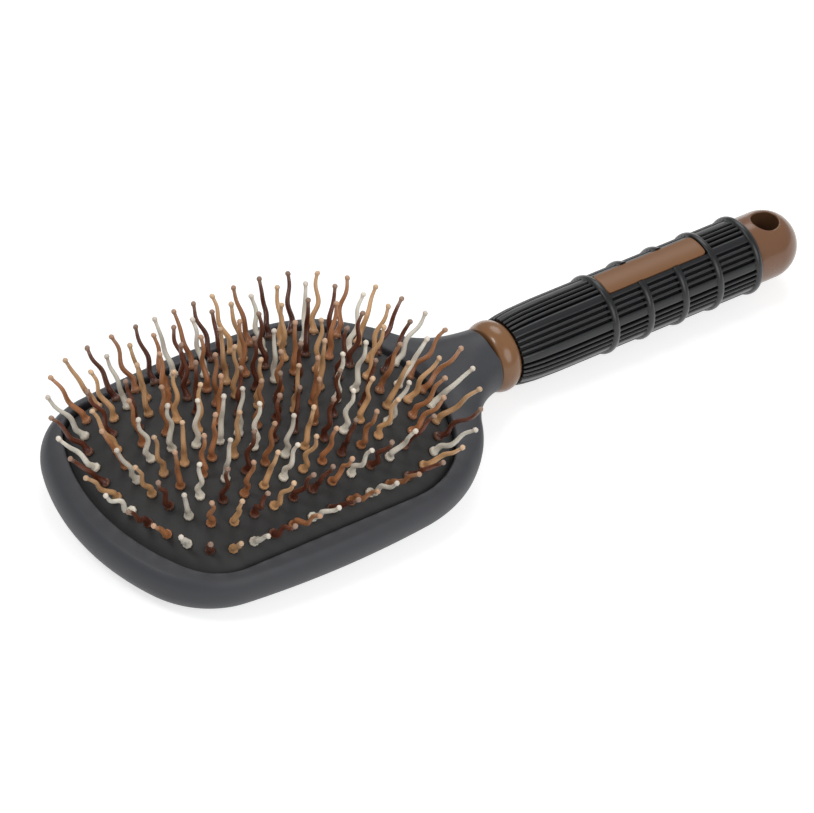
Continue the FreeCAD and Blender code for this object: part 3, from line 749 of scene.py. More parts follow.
def nylon_material(name, colour):
    """Glossy nylon, paler at the ball and the flange, with each pin a little different."""
    if name in bpy.data.materials:
        return bpy.data.materials[name]
    material, tree, shader = new_material(name, colour)
    group = surface_node(tree, colour, FINISHES["nylon"])
    height = shader_read(tree, "height")
    ball = ranged(tree, height, BALL_FADE, (0, BALL_PALENESS))
    foot = ranged(tree, height, FOOT_FADE, (0, FOOT_PALENESS))
    light = tuple(c + (w - c) * PALE_SHARE for c, w in zip(colour, PALE_COLOUR))
    # The colour sockets of a mix come after its number and vector sockets
    tipped = node(tree, "ShaderNodeMix", {"Factor": maths(tree, "MAXIMUM", ball, foot),
                                          6: group.outputs["Color"], 7: (*light, 1)},
                  data_type="RGBA").outputs[2]
    depth = ranged(tree, height, (FOOT_FADE[0], PIN_LENGTH), (FOOT_GAMMA, TIP_GAMMA))
    spread = ranged(tree, shader_read(tree, "tint"), None, PIN_BRIGHTNESS)
    deep = node(tree, "ShaderNodeGamma", {"Color": tipped, "Gamma": depth}).outputs[0]
    tree.links.new(scaled(tree, deep, spread), shader.inputs["Base Color"])
    tree.links.new(group.outputs["Roughness"], shader.inputs["Roughness"])
    shader.inputs["Subsurface Weight"].default_value = NYLON_CLOUDINESS
    shader.inputs["Subsurface Radius"].default_value = NYLON_SPREAD
    shader.inputs["Subsurface Scale"].default_value = NYLON_DEPTH * MM
    return material


def paint_hollow_shade(material, mask, shade_share):
    """Paint shade into a moulded material's colour and take off its coat where its mask is one."""
    tree = material.node_tree
    shader = tree.nodes["Principled BSDF"]
    value = mask(tree)
    plain = shader.inputs["Base Color"].links[0].from_socket
    # Painted shade: the base colour is darkened where the mask is one
    shade = ranged(tree, value, None, (1, shade_share))
    coat = ranged(tree, value, None, (shader.inputs["Coat Weight"].default_value, 0))
    tree.links.new(scaled(tree, plain, shade), shader.inputs["Base Color"])
    tree.links.new(coat, shader.inputs["Coat Weight"])


def flute_mask(tree):
    """Mask that is one on the floor of a flute, where shade is painted into the colour and the
    coat is taken off.
    """
    return shader_read(tree, "flute")


def hole_mask(tree):
    """Mask that is one on the wall of the hanging hole, where shade is painted into the colour and
    the coat is taken off.
    """
    place = node(tree, "ShaderNodeTexCoord").outputs["Object"]
    flat = vector_maths(tree, "MULTIPLY", place, (1, 1, 0))
    away = node(tree, "ShaderNodeVectorMath", {0: flat, 1: (at(HOLE_STATION) * MM, 0, 0)},
                operation="DISTANCE").outputs["Value"]
    return ranged(tree, away, ((HOLE_RADIUS + HOLE_MASK_WIDTH) * MM, HOLE_RADIUS * MM), (0, 1))


# Pins
def pin_rows():
    """Base, rotation, row and colour letter of every pin."""
    base, first = pocket_base(PIN_LINE_STEP)
    spine = (Vector((at(POCKET_FRONT) + POCKET_HALF, 0)),
             Vector((at(POCKET_BACK) - POCKET_HALF, 0)))
    pins = []
    edge = size_at(EDGE_ROW_INSET)
    for row in range(ROW_COUNT):
        size = edge * (1 - row / (ROW_COUNT - 1))
        lean = math.radians(FAN_ANGLE * (size / edge) ** FAN_POWER)
        letters = ROW_COLOURS[row]
        level = LIP_LEVEL + CROWN_RISE * (1 - size ** CROWN_POWER)
        loop = pocket_ring(base[first:] + base[:first + 1], size)
        for index, (point, outward) in enumerate(row_points(loop, spine, size, row)):
            turn = Quaternion((0, 0, 1), math.radians(GOLDEN_TURN * (len(pins) + 1)))
            if outward.length > 0:
                turn = Quaternion((-outward.y, outward.x, 0), lean) @ turn
            foot = Vector((point.x, point.y, level))
            pins.append((foot, turn, row, letters[index % len(letters)]))
    return pins


def row_points(loop, spine, size, row):
    """Even places along one row, each with its outward direction."""
    front, back = spine
    if size < TINY:
        count = round((back - front).length / PIN_PITCH) + 1
        return [(front.lerp(back, i / (count - 1)), Vector((0, 0))) for i in range(count)]
    lengths = [(b - a).length for a, b in zip(loop, loop[1:])]
    total = sum(lengths)
    count = round(total / PIN_PITCH)
    places = []
    for index in range(count):
        distance = (FIRST_PIN_SHARES[row] + index / count) * total % total
        step = 0
        while distance > lengths[step]:
            distance -= lengths[step]
            step += 1
        point = loop[step].lerp(loop[step + 1], distance / lengths[step])
        root = Vector((min(max(point.x, front.x), back.x), 0))
        places.append((point, (point - root).normalized()))
    return places


def pin_template():
    """Straight pin on the Z axis, from its keeper to its ball, with its height stored."""
    ball = PIN_LENGTH - PIN_BALL_RADIUS
    low = -KEEPER_DEPTH
    high = low + KEEPER_HEIGHT
    narrow = KEEPER_RADIUS - KEEPER_CHAMFER
    profile = [(KEEPER_CORE, low), (narrow, low), (KEEPER_RADIUS, low + KEEPER_CHAMFER),
               (KEEPER_RADIUS, high - KEEPER_CHAMFER), (narrow, high), (STEM_RADIUS, high),
               (STEM_RADIUS, 0.0), *FLANGE_TABLE]
    shaft = ball - SHAFT_END_BELOW_BALL - FLANGE_TOP
    for step in range(1, SHAFT_ROWS):
        t = step / SHAFT_ROWS
        profile.append((PIN_BASE_RADIUS + (PIN_TIP_RADIUS - PIN_BASE_RADIUS) * t,
                        FLANGE_TOP + shaft * t))
    for turn in BALL_TURNS:
        angle = math.radians(turn)
        profile.append((PIN_BALL_RADIUS * math.cos(angle),
                        ball + PIN_BALL_RADIUS * math.sin(angle)))
    form = Form()
    turns = [FULL_TURN * i / PIN_SIDES for i in range(PIN_SIDES)]
    rows = [form.add([(r * math.cos(a), r * math.sin(a), z) for a in turns]) for r, z in profile]
    form.skin(rows)
    form.faces.append(tuple(rows[0][::-1]))
    form.faces.append(tuple(rows[-1]))
    template = form.build("pin_template", None)
    height = template.data.attributes.new("height", "FLOAT", "POINT")
    for item, vertex in zip(height.data, template.data.vertices):
        item.value = vertex.co.z / MM
    return template


def pin_tree():
    """Geometry tree that stands a wavy pin on every point and leans it."""
    tree, entry, leave = new_group("Wavy pins", "GeometryNodeTree", [
        ("Geometry", "NodeSocketGeometry", None),
        ("Pin", "NodeSocketObject", None),
        ("Wave", "NodeSocketFloat", 1.0),
        ("Wave length", "NodeSocketFloat", 8.0),
        ("Straight foot", "NodeSocketFloat", 3.0),
        ("Seed", "NodeSocketInt", 0),
        ("Material", "NodeSocketMaterial", None),
    ], [("Geometry", "NodeSocketGeometry")])
    place = node(tree, "GeometryNodeInputPosition").outputs[0]
    stored = store(tree, entry.outputs["Geometry"], "base", place, "FLOAT_VECTOR")
    for number, (label, low, high) in enumerate(PIN_VARIETY):
        seed = maths(tree, "ADD", entry.outputs["Seed"], number)
        # The number sockets of a random value come after its vector sockets
        spread = node(tree, "FunctionNodeRandomValue", {2: low, 3: high, "Seed": seed},
                      data_type="FLOAT")
        stored = store(tree, stored, label, spread.outputs[1])
    pin = node(tree, "GeometryNodeObjectInfo", {"Object": entry.outputs["Pin"]})
    copies = node(tree, "GeometryNodeInstanceOnPoints", {"Points": stored,
                                                         "Instance": pin.outputs["Geometry"]})
    real = node(tree, "GeometryNodeRealizeInstances", {"Geometry": copies.outputs[0]})
    base = read(tree, "base", "FLOAT_VECTOR")
    height = read(tree, "height")
    local = vector_maths(tree, "SUBTRACT", place, base)
    ramp = ranged(tree, height, (0, entry.outputs["Straight foot"]), (0, 1))
    ramp = maths(tree, "MULTIPLY", ramp, ramp)
    turn = maths(tree, "MULTIPLY", height, FULL_TURN)
    turn = maths(tree, "DIVIDE", turn, entry.outputs["Wave length"])
    calm = maths(tree, "MULTIPLY", height, height)
    calm = maths(tree, "MULTIPLY_ADD", calm, TIP_CALM / PIN_LENGTH ** 2, 1)
    swing = maths(tree, "MULTIPLY", maths(tree, "MULTIPLY", entry.outputs["Wave"], ramp),
                  maths(tree, "MULTIPLY", read(tree, "swing"), calm))
    shifted = maths(tree, "MULTIPLY_ADD", read(tree, "phase"), ramp, turn)
    across = maths(tree, "MULTIPLY", swing, maths(tree, "SINE", shifted))
    kink = maths(tree, "COSINE", maths(tree, "MULTIPLY", turn, KINK_TURNS))
    aside = maths(tree, "MULTIPLY", maths(tree, "MULTIPLY", swing, read(tree, "kink")), kink)
    sway = node(tree, "ShaderNodeCombineXYZ", {"X": across, "Y": aside}).outputs[0]
    bent = vector_maths(tree, "ADD", local, scaled(tree, sway, MM))
    leaning = node(tree, "ShaderNodeVectorRotate", {
        "Vector": bent, "Rotation": read(tree, "lean", "FLOAT_VECTOR")},
        rotation_type="EULER_XYZ").outputs[0]
    moved = node(tree, "GeometryNodeSetPosition", {
        "Geometry": real.outputs[0], "Position": vector_maths(tree, "ADD", base, leaning)})
    paint(tree, moved.outputs[0], entry, leave)
    return tree


def set_inputs(modifier, tree, values):
    """Set a modifier's inputs by their labels."""
    for item in tree.interface.items_tree:
        if item.in_out == "INPUT" and item.name in values:
            modifier[item.identifier] = values[item.name]


def grown_mesh(piece, tree, values):
    """Plain mesh that a geometry tree makes from a piece."""
    modifier = piece.modifiers.new("Grow", "NODES")
    modifier.node_group = tree
    set_inputs(modifier, tree, values)
    piece.update_tag()
    bpy.context.view_layer.update()
    graph = bpy.context.evaluated_depsgraph_get()
    mesh = bpy.data.meshes.new_from_object(piece.evaluated_get(graph))
    piece.modifiers.remove(modifier)
    return mesh


# Operators
class BRUSH_OT_camera(bpy.types.Operator):
    """Place the camera at the photographed view"""
    bl_idname = "brush.camera"
    bl_label = "Camera"

    def execute(self, context):
        azimuth, elevation, roll = map(math.radians, (CAMERA_AZIMUTH, CAMERA_ELEVATION,
                                                      CAMERA_ROLL))
        back = Vector((math.sin(azimuth) * math.cos(elevation),
                       -math.cos(azimuth) * math.cos(elevation), math.sin(elevation)))
        right = Vector((math.cos(azimuth), math.sin(azimuth), 0))
        up = back.cross(right)
        right, up = (right * math.cos(roll) + up * math.sin(roll),
                     up * math.cos(roll) - right * math.sin(roll))
        lens = bpy.data.cameras.new("camera")
        lens.sensor_width = SENSOR_WIDTH
        lens.lens = SENSOR_WIDTH * CAMERA_FOCAL_PIXELS / PICTURE_WIDTH_PIXELS
        lens.clip_start, lens.clip_end = CAMERA_RANGE
        camera = bpy.data.objects.new("camera", lens)
        context.scene.collection.objects.link(camera)
        turn = Matrix((right, up, back)).transposed().to_4x4()
        place = Vector(CAMERA_TARGET) + back * CAMERA_DISTANCE
        camera.matrix_world = Matrix.Translation(place * MM) @ turn
        context.scene.camera = camera
        return {"FINISHED"}


class BRUSH_OT_paddle(bpy.types.Operator):
    """Build the moulded paddle with its rim, pocket, neck and tang"""
    bl_idname = "brush.paddle"
    bl_label = "Paddle"

    def execute(self, context):
        settings = context.scene.brush_paddle
        step = settings.step / MM
        rim = settings.rim_level / MM
        rounding = settings.rim_round / MM
        samples = paddle_samples(step)
        base, _ = pocket_base(step)
        outline = [p for p, n in samples]

        def waist(x):
            return WAIST_LEVEL + (AXIS_HEIGHT - WAIST_LEVEL) * smooth(at(NECK_START),
                                                                      at(NECK_END), x)

        def dome(p, inset, rounding, height, end_height):
            """Height over the waist: a plate with rounded edges that swells into the neck."""
            inset = min((p - q).length for q in outline) if inset is None else inset
            if p.x > at(NECK_ROUND_FROM):
                wide = smooth(at(NECK_ROUND_FROM), at(NECK_END), p.x)
                rounding += (max(rounding, half_width(samples, p.x)) - rounding) * wide
                height += (end_height - height) * smooth(at(NECK_RISE_FROM), at(NECK_END), p.x)
            return height * math.sqrt(1 - (1 - min(1, inset / rounding)) ** 2)

        def top(p, inset=None):
            low = waist(p.x)
            return low + dome(p, inset, rounding, rim - low, NECK_RADIUS)

        def bottom(p, inset=None):
            low = waist(p.x)
            return low - dome(p, inset, BACK_ROUND_WIDTH, low - BACK_EDGE_LEVEL,
                              AXIS_HEIGHT - NECK_BOTTOM_LEVEL)

        form = Form()
        upper = self.edge_rings(form, samples, rounding, RIM_TURN, top)
        lower = self.edge_rings(form, samples, BACK_ROUND_WIDTH, BACK_TURN, bottom)
        mouth, floor = self.pocket_walls(form, base, rim)
        crown = self.back_crown(form, base, floor)
        for border, inner, width, overlap, level in (
                (upper[-1], mouth, rounding, CUSHION_GAP + RIM_LIP_SLOPE + FILL_CLEARANCE, top),
                (lower[-1], crown, BACK_ROUND_WIDTH, 0, bottom)):
            wide = inset_ring(samples, width + FILL_MARGIN)
            hole = pocket_ring(base, size_at(-overlap))
            filling = [p for p in self.neck_field() if inside(p, wide) and not inside(p, hole)]
            form.patch(border, inner, filling, level)
        self.add_tang(form, upper, lower)
        material = moulded_material("Slate plastic", settings.colour, "slate plastic")
        piece = form.build("paddle", material)
        finish_piece(piece, "handle", "body_plastic", "paddle_body")
        return {"FINISHED"}

    @staticmethod
    def neck_field():
        """Even plane points between the pocket and the end of the neck."""
        low, high = at(POCKET_BACK) + FIELD_ENDS[0], at(NECK_END) - FIELD_ENDS[1]
        columns = int((high - low) / FILL_PITCH)
        rows = int(2 * FIELD_HALF / FILL_PITCH)
        return [Vector((low + (high - low) * i / columns, 2 * FIELD_HALF * j / rows - FIELD_HALF))
                for i in range(columns + 1) for j in range(rows + 1)]

    @staticmethod
    def edge_rings(form, samples, width, turn, level):
        """Rings over the rounded edge, from the outline inwards."""
        rings = []
        for step in range(EDGE_STEPS + 1):
            inset = width * (1 - math.cos(math.radians(turn) * step / EDGE_STEPS))
            rings.append(form.ring(inset_ring(samples, inset), lambda p: level(p, inset)))
        form.skin(rings, closed=False)
        return rings

    @staticmethod
    def pocket_walls(form, base, rim):
        """Rounded lip, wall and floor of the pocket; returns the ring on top of the rim."""
        rings = []
        for step in range(LIP_STEPS + 1):
            turn = HALF_TURN / 2 * (1 - step / LIP_STEPS)
            spread = CUSHION_GAP + RIM_LIP_SLOPE * (1 - math.cos(turn))
            level = LIP_LEVEL + (rim - LIP_LEVEL) * math.sin(turn)
            rings.append(form.ring(pocket_ring(base, size_at(-spread)), level))
        ledge = POCKET_LEDGE_LEVEL - CUSHION_GAP
        for inset, level in ((-CUSHION_GAP, ledge), (CUSHION_WALL, ledge),
                             (CUSHION_WALL, POCKET_FLOOR),
                             *((inset, POCKET_FLOOR) for inset in POCKET_MIDDLE_INSETS)):
            rings.append(form.ring(pocket_ring(base, size_at(inset)), level))
        form.skin(rings)
        return rings[0], rings[-1]

    @staticmethod
    def back_crown(form, base, floor):
        """Shallow crown of the back; returns its outermost ring."""
        rings = []
        for (inset, level), (inset_2, level_2) in zip(CROWN_TABLE, CROWN_TABLE[1:]):
            for step in range(CROWN_STEPS):
                t = step / CROWN_STEPS
                ring = pocket_ring(base, size_at(inset + (inset_2 - inset) * t))
                rings.append(form.ring(ring, level + (level_2 - level) * t))
        for inset in BACK_MIDDLE_INSETS:
            rings.append(form.ring(pocket_ring(base, size_at(inset)), 0))
        form.skin(rings)
        BRUSH_OT_paddle.vent(form, rings[-1], floor)
        return rings[0]

    @staticmethod
    def vent(form, outside, floor):
        """Vent hole from the back into the air chamber."""
        middle = at((POCKET_FRONT + POCKET_BACK) / 2)
        turns = [FULL_TURN * i / VENT_SIDES for i in range(VENT_SIDES)]
        rings = []
        for radius, level in ((VENT_RADIUS + VENT_FLAT_WIDTH, 0), (VENT_RADIUS + VENT_CHAMFER, 0),
                              (VENT_RADIUS, VENT_CHAMFER), (VENT_RADIUS, POCKET_FLOOR)):
            circle = [Vector((middle + radius * math.cos(a), radius * math.sin(a))) for a in turns]
            rings.append(form.ring(circle, level))
        form.skin(rings)
        form.patch(outside, rings[0], [], 0)
        form.patch(floor, rings[-1], [], 0)

    @staticmethod
    def add_tang(form, upper, lower):
        """Close the end of the neck with its shoulder and the tang."""
        loop = [ring[0] for ring in upper] + [ring[-1] for ring in upper[::-1]]
        loop += [ring[-1] for ring in lower[1:]] + [ring[0] for ring in lower[:0:-1]]
        ring = [form.points[i] for i in loop]
        rows = [loop]
        for station in (NECK_END, GRIP_END):
            round_ring = []
            for x, y, z in ring:
                ray = Vector((y, z - AXIS_HEIGHT)).normalized() * TANG_RADIUS
                round_ring.append((at(station), ray.x, AXIS_HEIGHT + ray.y))
            rows.append(form.add(round_ring))
        form.skin(rows)
        form.faces.append(tuple(rows[-1]))


class BRUSH_OT_cushion(bpy.types.Operator):
    """Build the rubber cushion with its crown and a dimple around every pin"""
    bl_idname = "brush.cushion"
    bl_label = "Cushion"

    def execute(self, context):
        settings = context.scene.brush_cushion
        rise = settings.rise / MM
        depth = settings.dimple / MM
        width = settings.dimple_width / MM
        groove = settings.groove / MM
        groove_width = settings.groove_width / MM
        base, _ = pocket_base(CUSHION_STEP)
        cells = {}
        for foot, turn, row, letter in pin_rows():
            pin = Vector(foot[:2])
            cells.setdefault(self.cell(pin), []).append(pin)

        def dome(size):
            def level(p):
                column, line = self.cell(p)
                height = LIP_LEVEL + rise * (1 - size ** CROWN_POWER)
                height -= groove * math.exp(-((1 - size) * POCKET_HALF / groove_width) ** 2)
                for i in (-1, 0, 1):
                    for j in (-1, 0, 1):
                        for pin in cells.get((column + i, line + j), []):
                            height -= depth * math.exp(-(p - pin).length_squared / width ** 2)
                return height
            return level

        form = Form()
        bead = LIP_LEVEL - CUSHION_BEAD_HEIGHT
        wall = pocket_ring(base, size_at(CUSHION_WALL))
        edge = pocket_ring(base, size_at(0))
        outer = [form.ring(wall, bead), form.ring(edge, bead),
                 form.ring(edge, LIP_LEVEL - groove - CUSHION_EDGE_ROUND)]
        sizes = [size_at(inset) for inset in CUSHION_EDGE_INSETS]
        sizes += [size_at(CUSHION_EDGE_WIDTH) * (1 - step / CUSHION_ROWS)
                  for step in range(1, CUSHION_ROWS + 1)]
        outer += [form.ring(pocket_ring(base, size), dome(size)) for size in sizes]
        inner = [form.ring(wall, bead)]
        for step in range(CUSHION_UNDER_ROWS + 1):
            size = 1 - step / CUSHION_UNDER_ROWS
            level = LIP_LEVEL - groove - CUSHION_WALL + rise * (1 - size ** CROWN_POWER)
            inner.append(form.ring(pocket_ring(base, size * size_at(CUSHION_WALL)), level))
        form.skin(outer)
        form.skin(inner)
        material = moulded_material("Cushion rubber", settings.colour, "cushion rubber")
        piece = form.build("cushion_skin", material, ROUND_SMOOTH_LIMIT)
        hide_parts("cushion")
        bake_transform(piece)
        return {"FINISHED"}

    @staticmethod
    def cell(point):
        """Square of a coarse grid that holds a plane point."""
        return int(point.x // NEIGHBOUR_CELL), int(point.y // NEIGHBOUR_CELL)


class BRUSH_OT_pins(bpy.types.Operator):
    """Grow the wavy pins in four colours on their rows"""
    bl_idname = "brush.pins"
    bl_label = "Pins"

    def execute(self, context):
        settings = context.scene.brush_pins
        tree = pin_tree()
        template = pin_template()
        groups = {}
        for foot, turn, row, letter in pin_rows():
            groups.setdefault((ROW_BODIES[row], COLOURS[letter]), []).append((foot, turn))
        for number, ((body, colour), places) in enumerate(sorted(groups.items())):
            points = bpy.data.meshes.new("pin_points")
            points.from_pydata([foot * MM for foot, turn in places], [], [])
            lean = points.attributes.new("lean", "FLOAT_VECTOR", "POINT")
            for item, (foot, turn) in zip(lean.data, places):
                item.vector = turn.to_euler("XYZ")
            carrier = bpy.data.objects.new("pin_carrier", points)
            context.scene.collection.objects.link(carrier)
            material = nylon_material("Nylon " + colour, tuple(getattr(settings, colour)))
            mesh = grown_mesh(carrier, tree, {
                "Pin": template, "Wave": settings.wave / MM,
                "Wave length": settings.wave_length / MM,
                "Straight foot": settings.straight_foot / MM,
                "Seed": settings.seed * SEED_STEP + number * len(PIN_VARIETY),
                "Material": material})
            bpy.data.objects.remove(carrier)
            if len(mesh.polygons) == 0:
                raise RuntimeError("the pins tree made no pins")
            mesh.name = "pins_" + body + "_" + colour
            piece = bpy.data.objects.new("nylon_" + body + "_" + colour, mesh)
            context.scene.collection.objects.link(piece)
            finish_piece(piece, body, "pin_" + colour, "pins_" + body + "_" + colour)
        bpy.data.objects.remove(template)
        return {"FINISHED"}


def band_stations():
    """Stations of the raised bands; the last one stands a little further out."""
    stations = [FIRST_BAND + BAND_PITCH * index for index in range(BAND_COUNT)]
    stations[-1] += LAST_BAND_EXTRA
    return stations


def on_handle(x, angle, radius):
    """Point at an angle from straight up and a radius about the handle's axis."""
    return (x, radius * math.sin(angle), AXIS_HEIGHT + radius * math.cos(angle))


def turned_form(profile, count):
    """Form turned about the handle's axis from (station, radius) pairs."""
    form = Form()
    turns = [FULL_TURN * i / count for i in range(count)]
    rows = [form.add([on_handle(at(station), angle, radius) for angle in turns])
            for station, radius in profile]
    form.skin(rows + rows[:1])
    return form


def flute_tree():
    """Geometry tree that sinks groups of flutes into a turned sleeve and raises its bands."""
    tree, entry, leave = new_group("Flutes and bands", "GeometryNodeTree", [
        ("Geometry", "NodeSocketGeometry", None),
        ("Axis height", "NodeSocketFloat", 0.01),
        ("Flute depth", "NodeSocketFloat", 0.001),
        ("Flute width", "NodeSocketFloat", 0.1),
        ("Groups", "NodeSocketFloat", 8.0),
        ("Flutes", "NodeSocketFloat", 4.0),
        ("Rib round", "NodeSocketFloat", 0.2),
        ("Band height", "NodeSocketFloat", 0.001),
        ("Material", "NodeSocketMaterial", None),
    ], [("Geometry", "NodeSocketGeometry")])
    flutes = entry.outputs["Flutes"]
    group = maths(tree, "DIVIDE", FULL_TURN, entry.outputs["Groups"])
    half_group = maths(tree, "MULTIPLY", group, 0.5)
    pitch = maths(tree, "DIVIDE", group, maths(tree, "ADD", flutes, 1))
    across = maths(tree, "MODULO", maths(tree, "ADD", read(tree, "around"), half_group), group)
    across = maths(tree, "SUBTRACT", across, half_group)
    last = maths(tree, "SUBTRACT", flutes, 1)
    outer = maths(tree, "MULTIPLY", last, 0.5)
    lane = maths(tree, "ROUND", maths(tree, "ADD", maths(tree, "DIVIDE", across, pitch), outer))
    lane = maths(tree, "MINIMUM", maths(tree, "MAXIMUM", lane, 0), last)
    centre = maths(tree, "MULTIPLY", maths(tree, "SUBTRACT", lane, outer), pitch)
    away = maths(tree, "SUBTRACT", across, centre)
    away = maths(tree, "DIVIDE", away, entry.outputs["Flute width"])
    hollow = maths(tree, "POWER", maths(tree, "MULTIPLY", away, away), 2)
    hollow = maths(tree, "SUBTRACT", 1, hollow, clamp=True)
    shoulder = maths(tree, "SUBTRACT", 2, maths(tree, "ABSOLUTE", away), clamp=True)
    shoulder = maths(tree, "MULTIPLY", shoulder, shoulder)
    shoulder = maths(tree, "MULTIPLY", shoulder, entry.outputs["Rib round"])
    hollow = maths(tree, "MAXIMUM", hollow, shoulder)
    hollow = maths(tree, "MULTIPLY", hollow, read(tree, "run"))
    sink = maths(tree, "MULTIPLY", hollow, entry.outputs["Flute depth"])
    lift = maths(tree, "MULTIPLY", read(tree, "band"), entry.outputs["Band height"])
    place = node(tree, "GeometryNodeInputPosition").outputs[0]
    axis = node(tree, "ShaderNodeCombineXYZ", {"Z": entry.outputs["Axis height"]}).outputs[0]
    ray = vector_maths(tree, "SUBTRACT", place, axis)
    ray = vector_maths(tree, "NORMALIZE", vector_maths(tree, "MULTIPLY", ray, (0, 1, 1)))
    offset = scaled(tree, ray, maths(tree, "SUBTRACT", lift, sink))
    moved = node(tree, "GeometryNodeSetPosition", {"Geometry": entry.outputs["Geometry"],
                                                   "Offset": offset})
    # The flute share is stored as the mask where the material paints shade into the flutes
    paint(tree, store(tree, moved.outputs[0], "flute", hollow), entry, leave)
    return tree


def grip_profile_radius(station):
    """Radius of the plain grip at a station."""
    along = station - COLLAR_END
    for (x1, r1), (x2, r2) in zip(GRIP_SWELL, GRIP_SWELL[1:]):
        if along <= x2:
            return r1 + (r2 - r1) * (along - x1) / (x2 - x1)
    return GRIP_RADIUS


class BRUSH_OT_grip(bpy.types.Operator):
    """Build the rubber sleeve with its flutes and bands"""
    bl_idname = "brush.grip"
    bl_label = "Grip sleeve"

    def execute(self, context):
        settings = context.scene.brush_handle
        flute_half = FLUTE_WIDTH / 2 / GRIP_RADIUS
        carrier = self.blank(self.turns(settings, flute_half))
        material = moulded_material("Grip rubber", settings.rubber, "grip rubber")
        # Painted shade in the flutes' floors, which are also left without coat
        paint_hollow_shade(material, flute_mask, FLUTE_PAINTED_SHADE)
        mesh = grown_mesh(carrier, flute_tree(), {
            "Axis height": AXIS_HEIGHT * MM, "Flute depth": settings.flute_depth,
            "Flute width": flute_half, "Groups": float(settings.groups),
            "Flutes": float(settings.flutes), "Rib round": settings.rib_round,
            "Band height": settings.band_height, "Material": material})
        bpy.data.objects.remove(carrier)
        self.close_ends(mesh)
        piece = bpy.data.objects.new("rubber_sleeve", mesh)
        context.scene.collection.objects.link(piece)
        finish_piece(piece, "handle", "grip_rubber", "grip_sleeve")
        return {"FINISHED"}

    @staticmethod
    def stations(seat):
        """Stations of the sleeve's rows, close together at the swell, the bands and the seat."""
        start = COLLAR_END + SEAM_GAP
        bands = band_stations()
        half = BAND_WIDTH / 2
        found = {start, GRIP_END}
        found |= {start + (GRIP_SWELL[-1][0] + SWELL_REACH) * i / SWELL_ROWS
                  for i in range(SWELL_ROWS + 1)}
        for band in bands:
            found |= {min(GRIP_END, band + half * i / BAND_ROWS)
                      for i in range(-BAND_ROWS, BAND_ROWS + 1)}
            found |= {band - half - FLUTE_ROW_PITCH / 2 - FLUTE_ROW_PITCH * i
                      for i in range(BAND_ROWS + 1)}
            if band + half + SHORTEST_FLUTE < GRIP_END:
                found |= {band + half + FLUTE_END_GAP * i / (FLUTE_END_ROWS / 2)
                          for i in range(1, FLUTE_END_ROWS + 1)}
        found |= {(a + b) / 2 for a, b in zip([start + SWELL_END] + bands, bands)}
        found |= {seat[0] - SEAT_WALL, seat[0], seat[1], seat[1] + SEAT_WALL}
        return sorted(found)

    @staticmethod
    def turns(settings, flute_half):
        """Angles of the sleeve's points, close together at the flutes and the seat's sides."""
        pitch = FULL_TURN / settings.groups / (settings.flutes + 1)
        angles = []
        for group in range(settings.groups):
            for flute in range(settings.flutes + 1):
                centre = pitch * ((settings.flutes + 1) * group + flute
                                  - (settings.flutes - 1) / 2)
                angles += [(centre + flute_half * share) % FULL_TURN for share in RIB_ANGLE_SHARES]
        angles += [a % FULL_TURN for side in (SEAT_TURN, -SEAT_TURN)
                   for a in (side, side * SEAT_SIDE_SHARE)]
        return sorted(angles)

    @staticmethod
    def flute_and_band(station, bands):
        """Shares of the flutes' depth and of the bands' height at a station."""
        half = BAND_WIDTH / 2
        nearest = min(bands, key=lambda band: abs(band - station))
        gap = abs(station - nearest) - half
        lift = math.sqrt(max(0, 1 - (abs(station - nearest) / half) ** 2)) if gap < 0 else 0
        reach = FLUTE_END_GAP if nearest < station else FLUTE_START_GAP
        cut = (gap - reach * FLUTE_PLAIN_SHARE) / (reach * (1 - FLUTE_PLAIN_SHARE))
        cut = math.sqrt(1 - (1 - min(1, max(0, cut))) ** 2)
        return (0 if station > bands[-1] else cut), lift

    def blank(self, angles):
        """Plain sleeve with the seat of the badge, and what the flutes and bands need stored."""
        bands = band_stations()
        seat = (bands[0] + BAND_WIDTH / 2 - BADGE_GAP,
                bands[BADGE_LAST_BAND] - BAND_WIDTH / 2 + BADGE_GAP)
        form = Form()
        rows = []
        stored = {"run": [], "band": [], "around": []}
        for station in self.stations(seat):
            radius = grip_profile_radius(station)
            cut, lift = self.flute_and_band(station, bands)
            under = seat[0] <= station <= seat[1]
            ring = []
            for angle in angles:
                away = abs((angle + HALF_TURN) % FULL_TURN - HALF_TURN)
                seated = under and away <= SEAT_TURN + TINY
                ring.append(on_handle(at(station), angle, BADGE_SEAT_RADIUS if seated else radius))
                stored["run"].append(0 if seated else cut)
                stored["band"].append(0 if seated else lift)
                stored["around"].append(angle)
            rows.append(form.add(ring))
        form.skin(rows)
        carrier = self.plain_object(form)
        for label, values in stored.items():
            made = carrier.data.attributes.new(label, "FLOAT", "POINT")
            made.data.foreach_set("value", values)
        return carrier

    @staticmethod
    def plain_object(form):
        """Object with the form's mesh as it is."""
        mesh = bpy.data.meshes.new("sleeve_blank")
        mesh.from_pydata([Vector(p) * MM for p in form.points], [], form.faces)
        carrier = bpy.data.objects.new("sleeve_blank", mesh)
        bpy.context.scene.collection.objects.link(carrier)
        return carrier

    @staticmethod
    def close_ends(mesh):
        """Turn both open ends inwards and join them through the bore."""
        shape = bmesh.new()
        shape.from_mesh(mesh)
        rims = [e for e in shape.edges if e.is_boundary]
        made = bmesh.ops.extrude_edge_only(shape, edges=rims)
        fresh = [v for v in made["geom"] if isinstance(v, bmesh.types.BMVert)]
        for vertex in fresh:
            axis = Vector((vertex.co.x, 0, AXIS_HEIGHT * MM))
            vertex.co = axis + (vertex.co - axis).normalized() * (TANG_RADIUS + TANG_GAP) * MM
        inner = [e for e in shape.edges if e.is_boundary]
        bmesh.ops.bridge_loops(shape, edges=inner)
        bmesh.ops.recalc_face_normals(shape, faces=shape.faces)
        shape.to_mesh(mesh)
        shape.free()
        mesh.shade_smooth()
        mesh.set_sharp_from_angle(angle=math.radians(SLEEVE_SMOOTH_LIMIT))


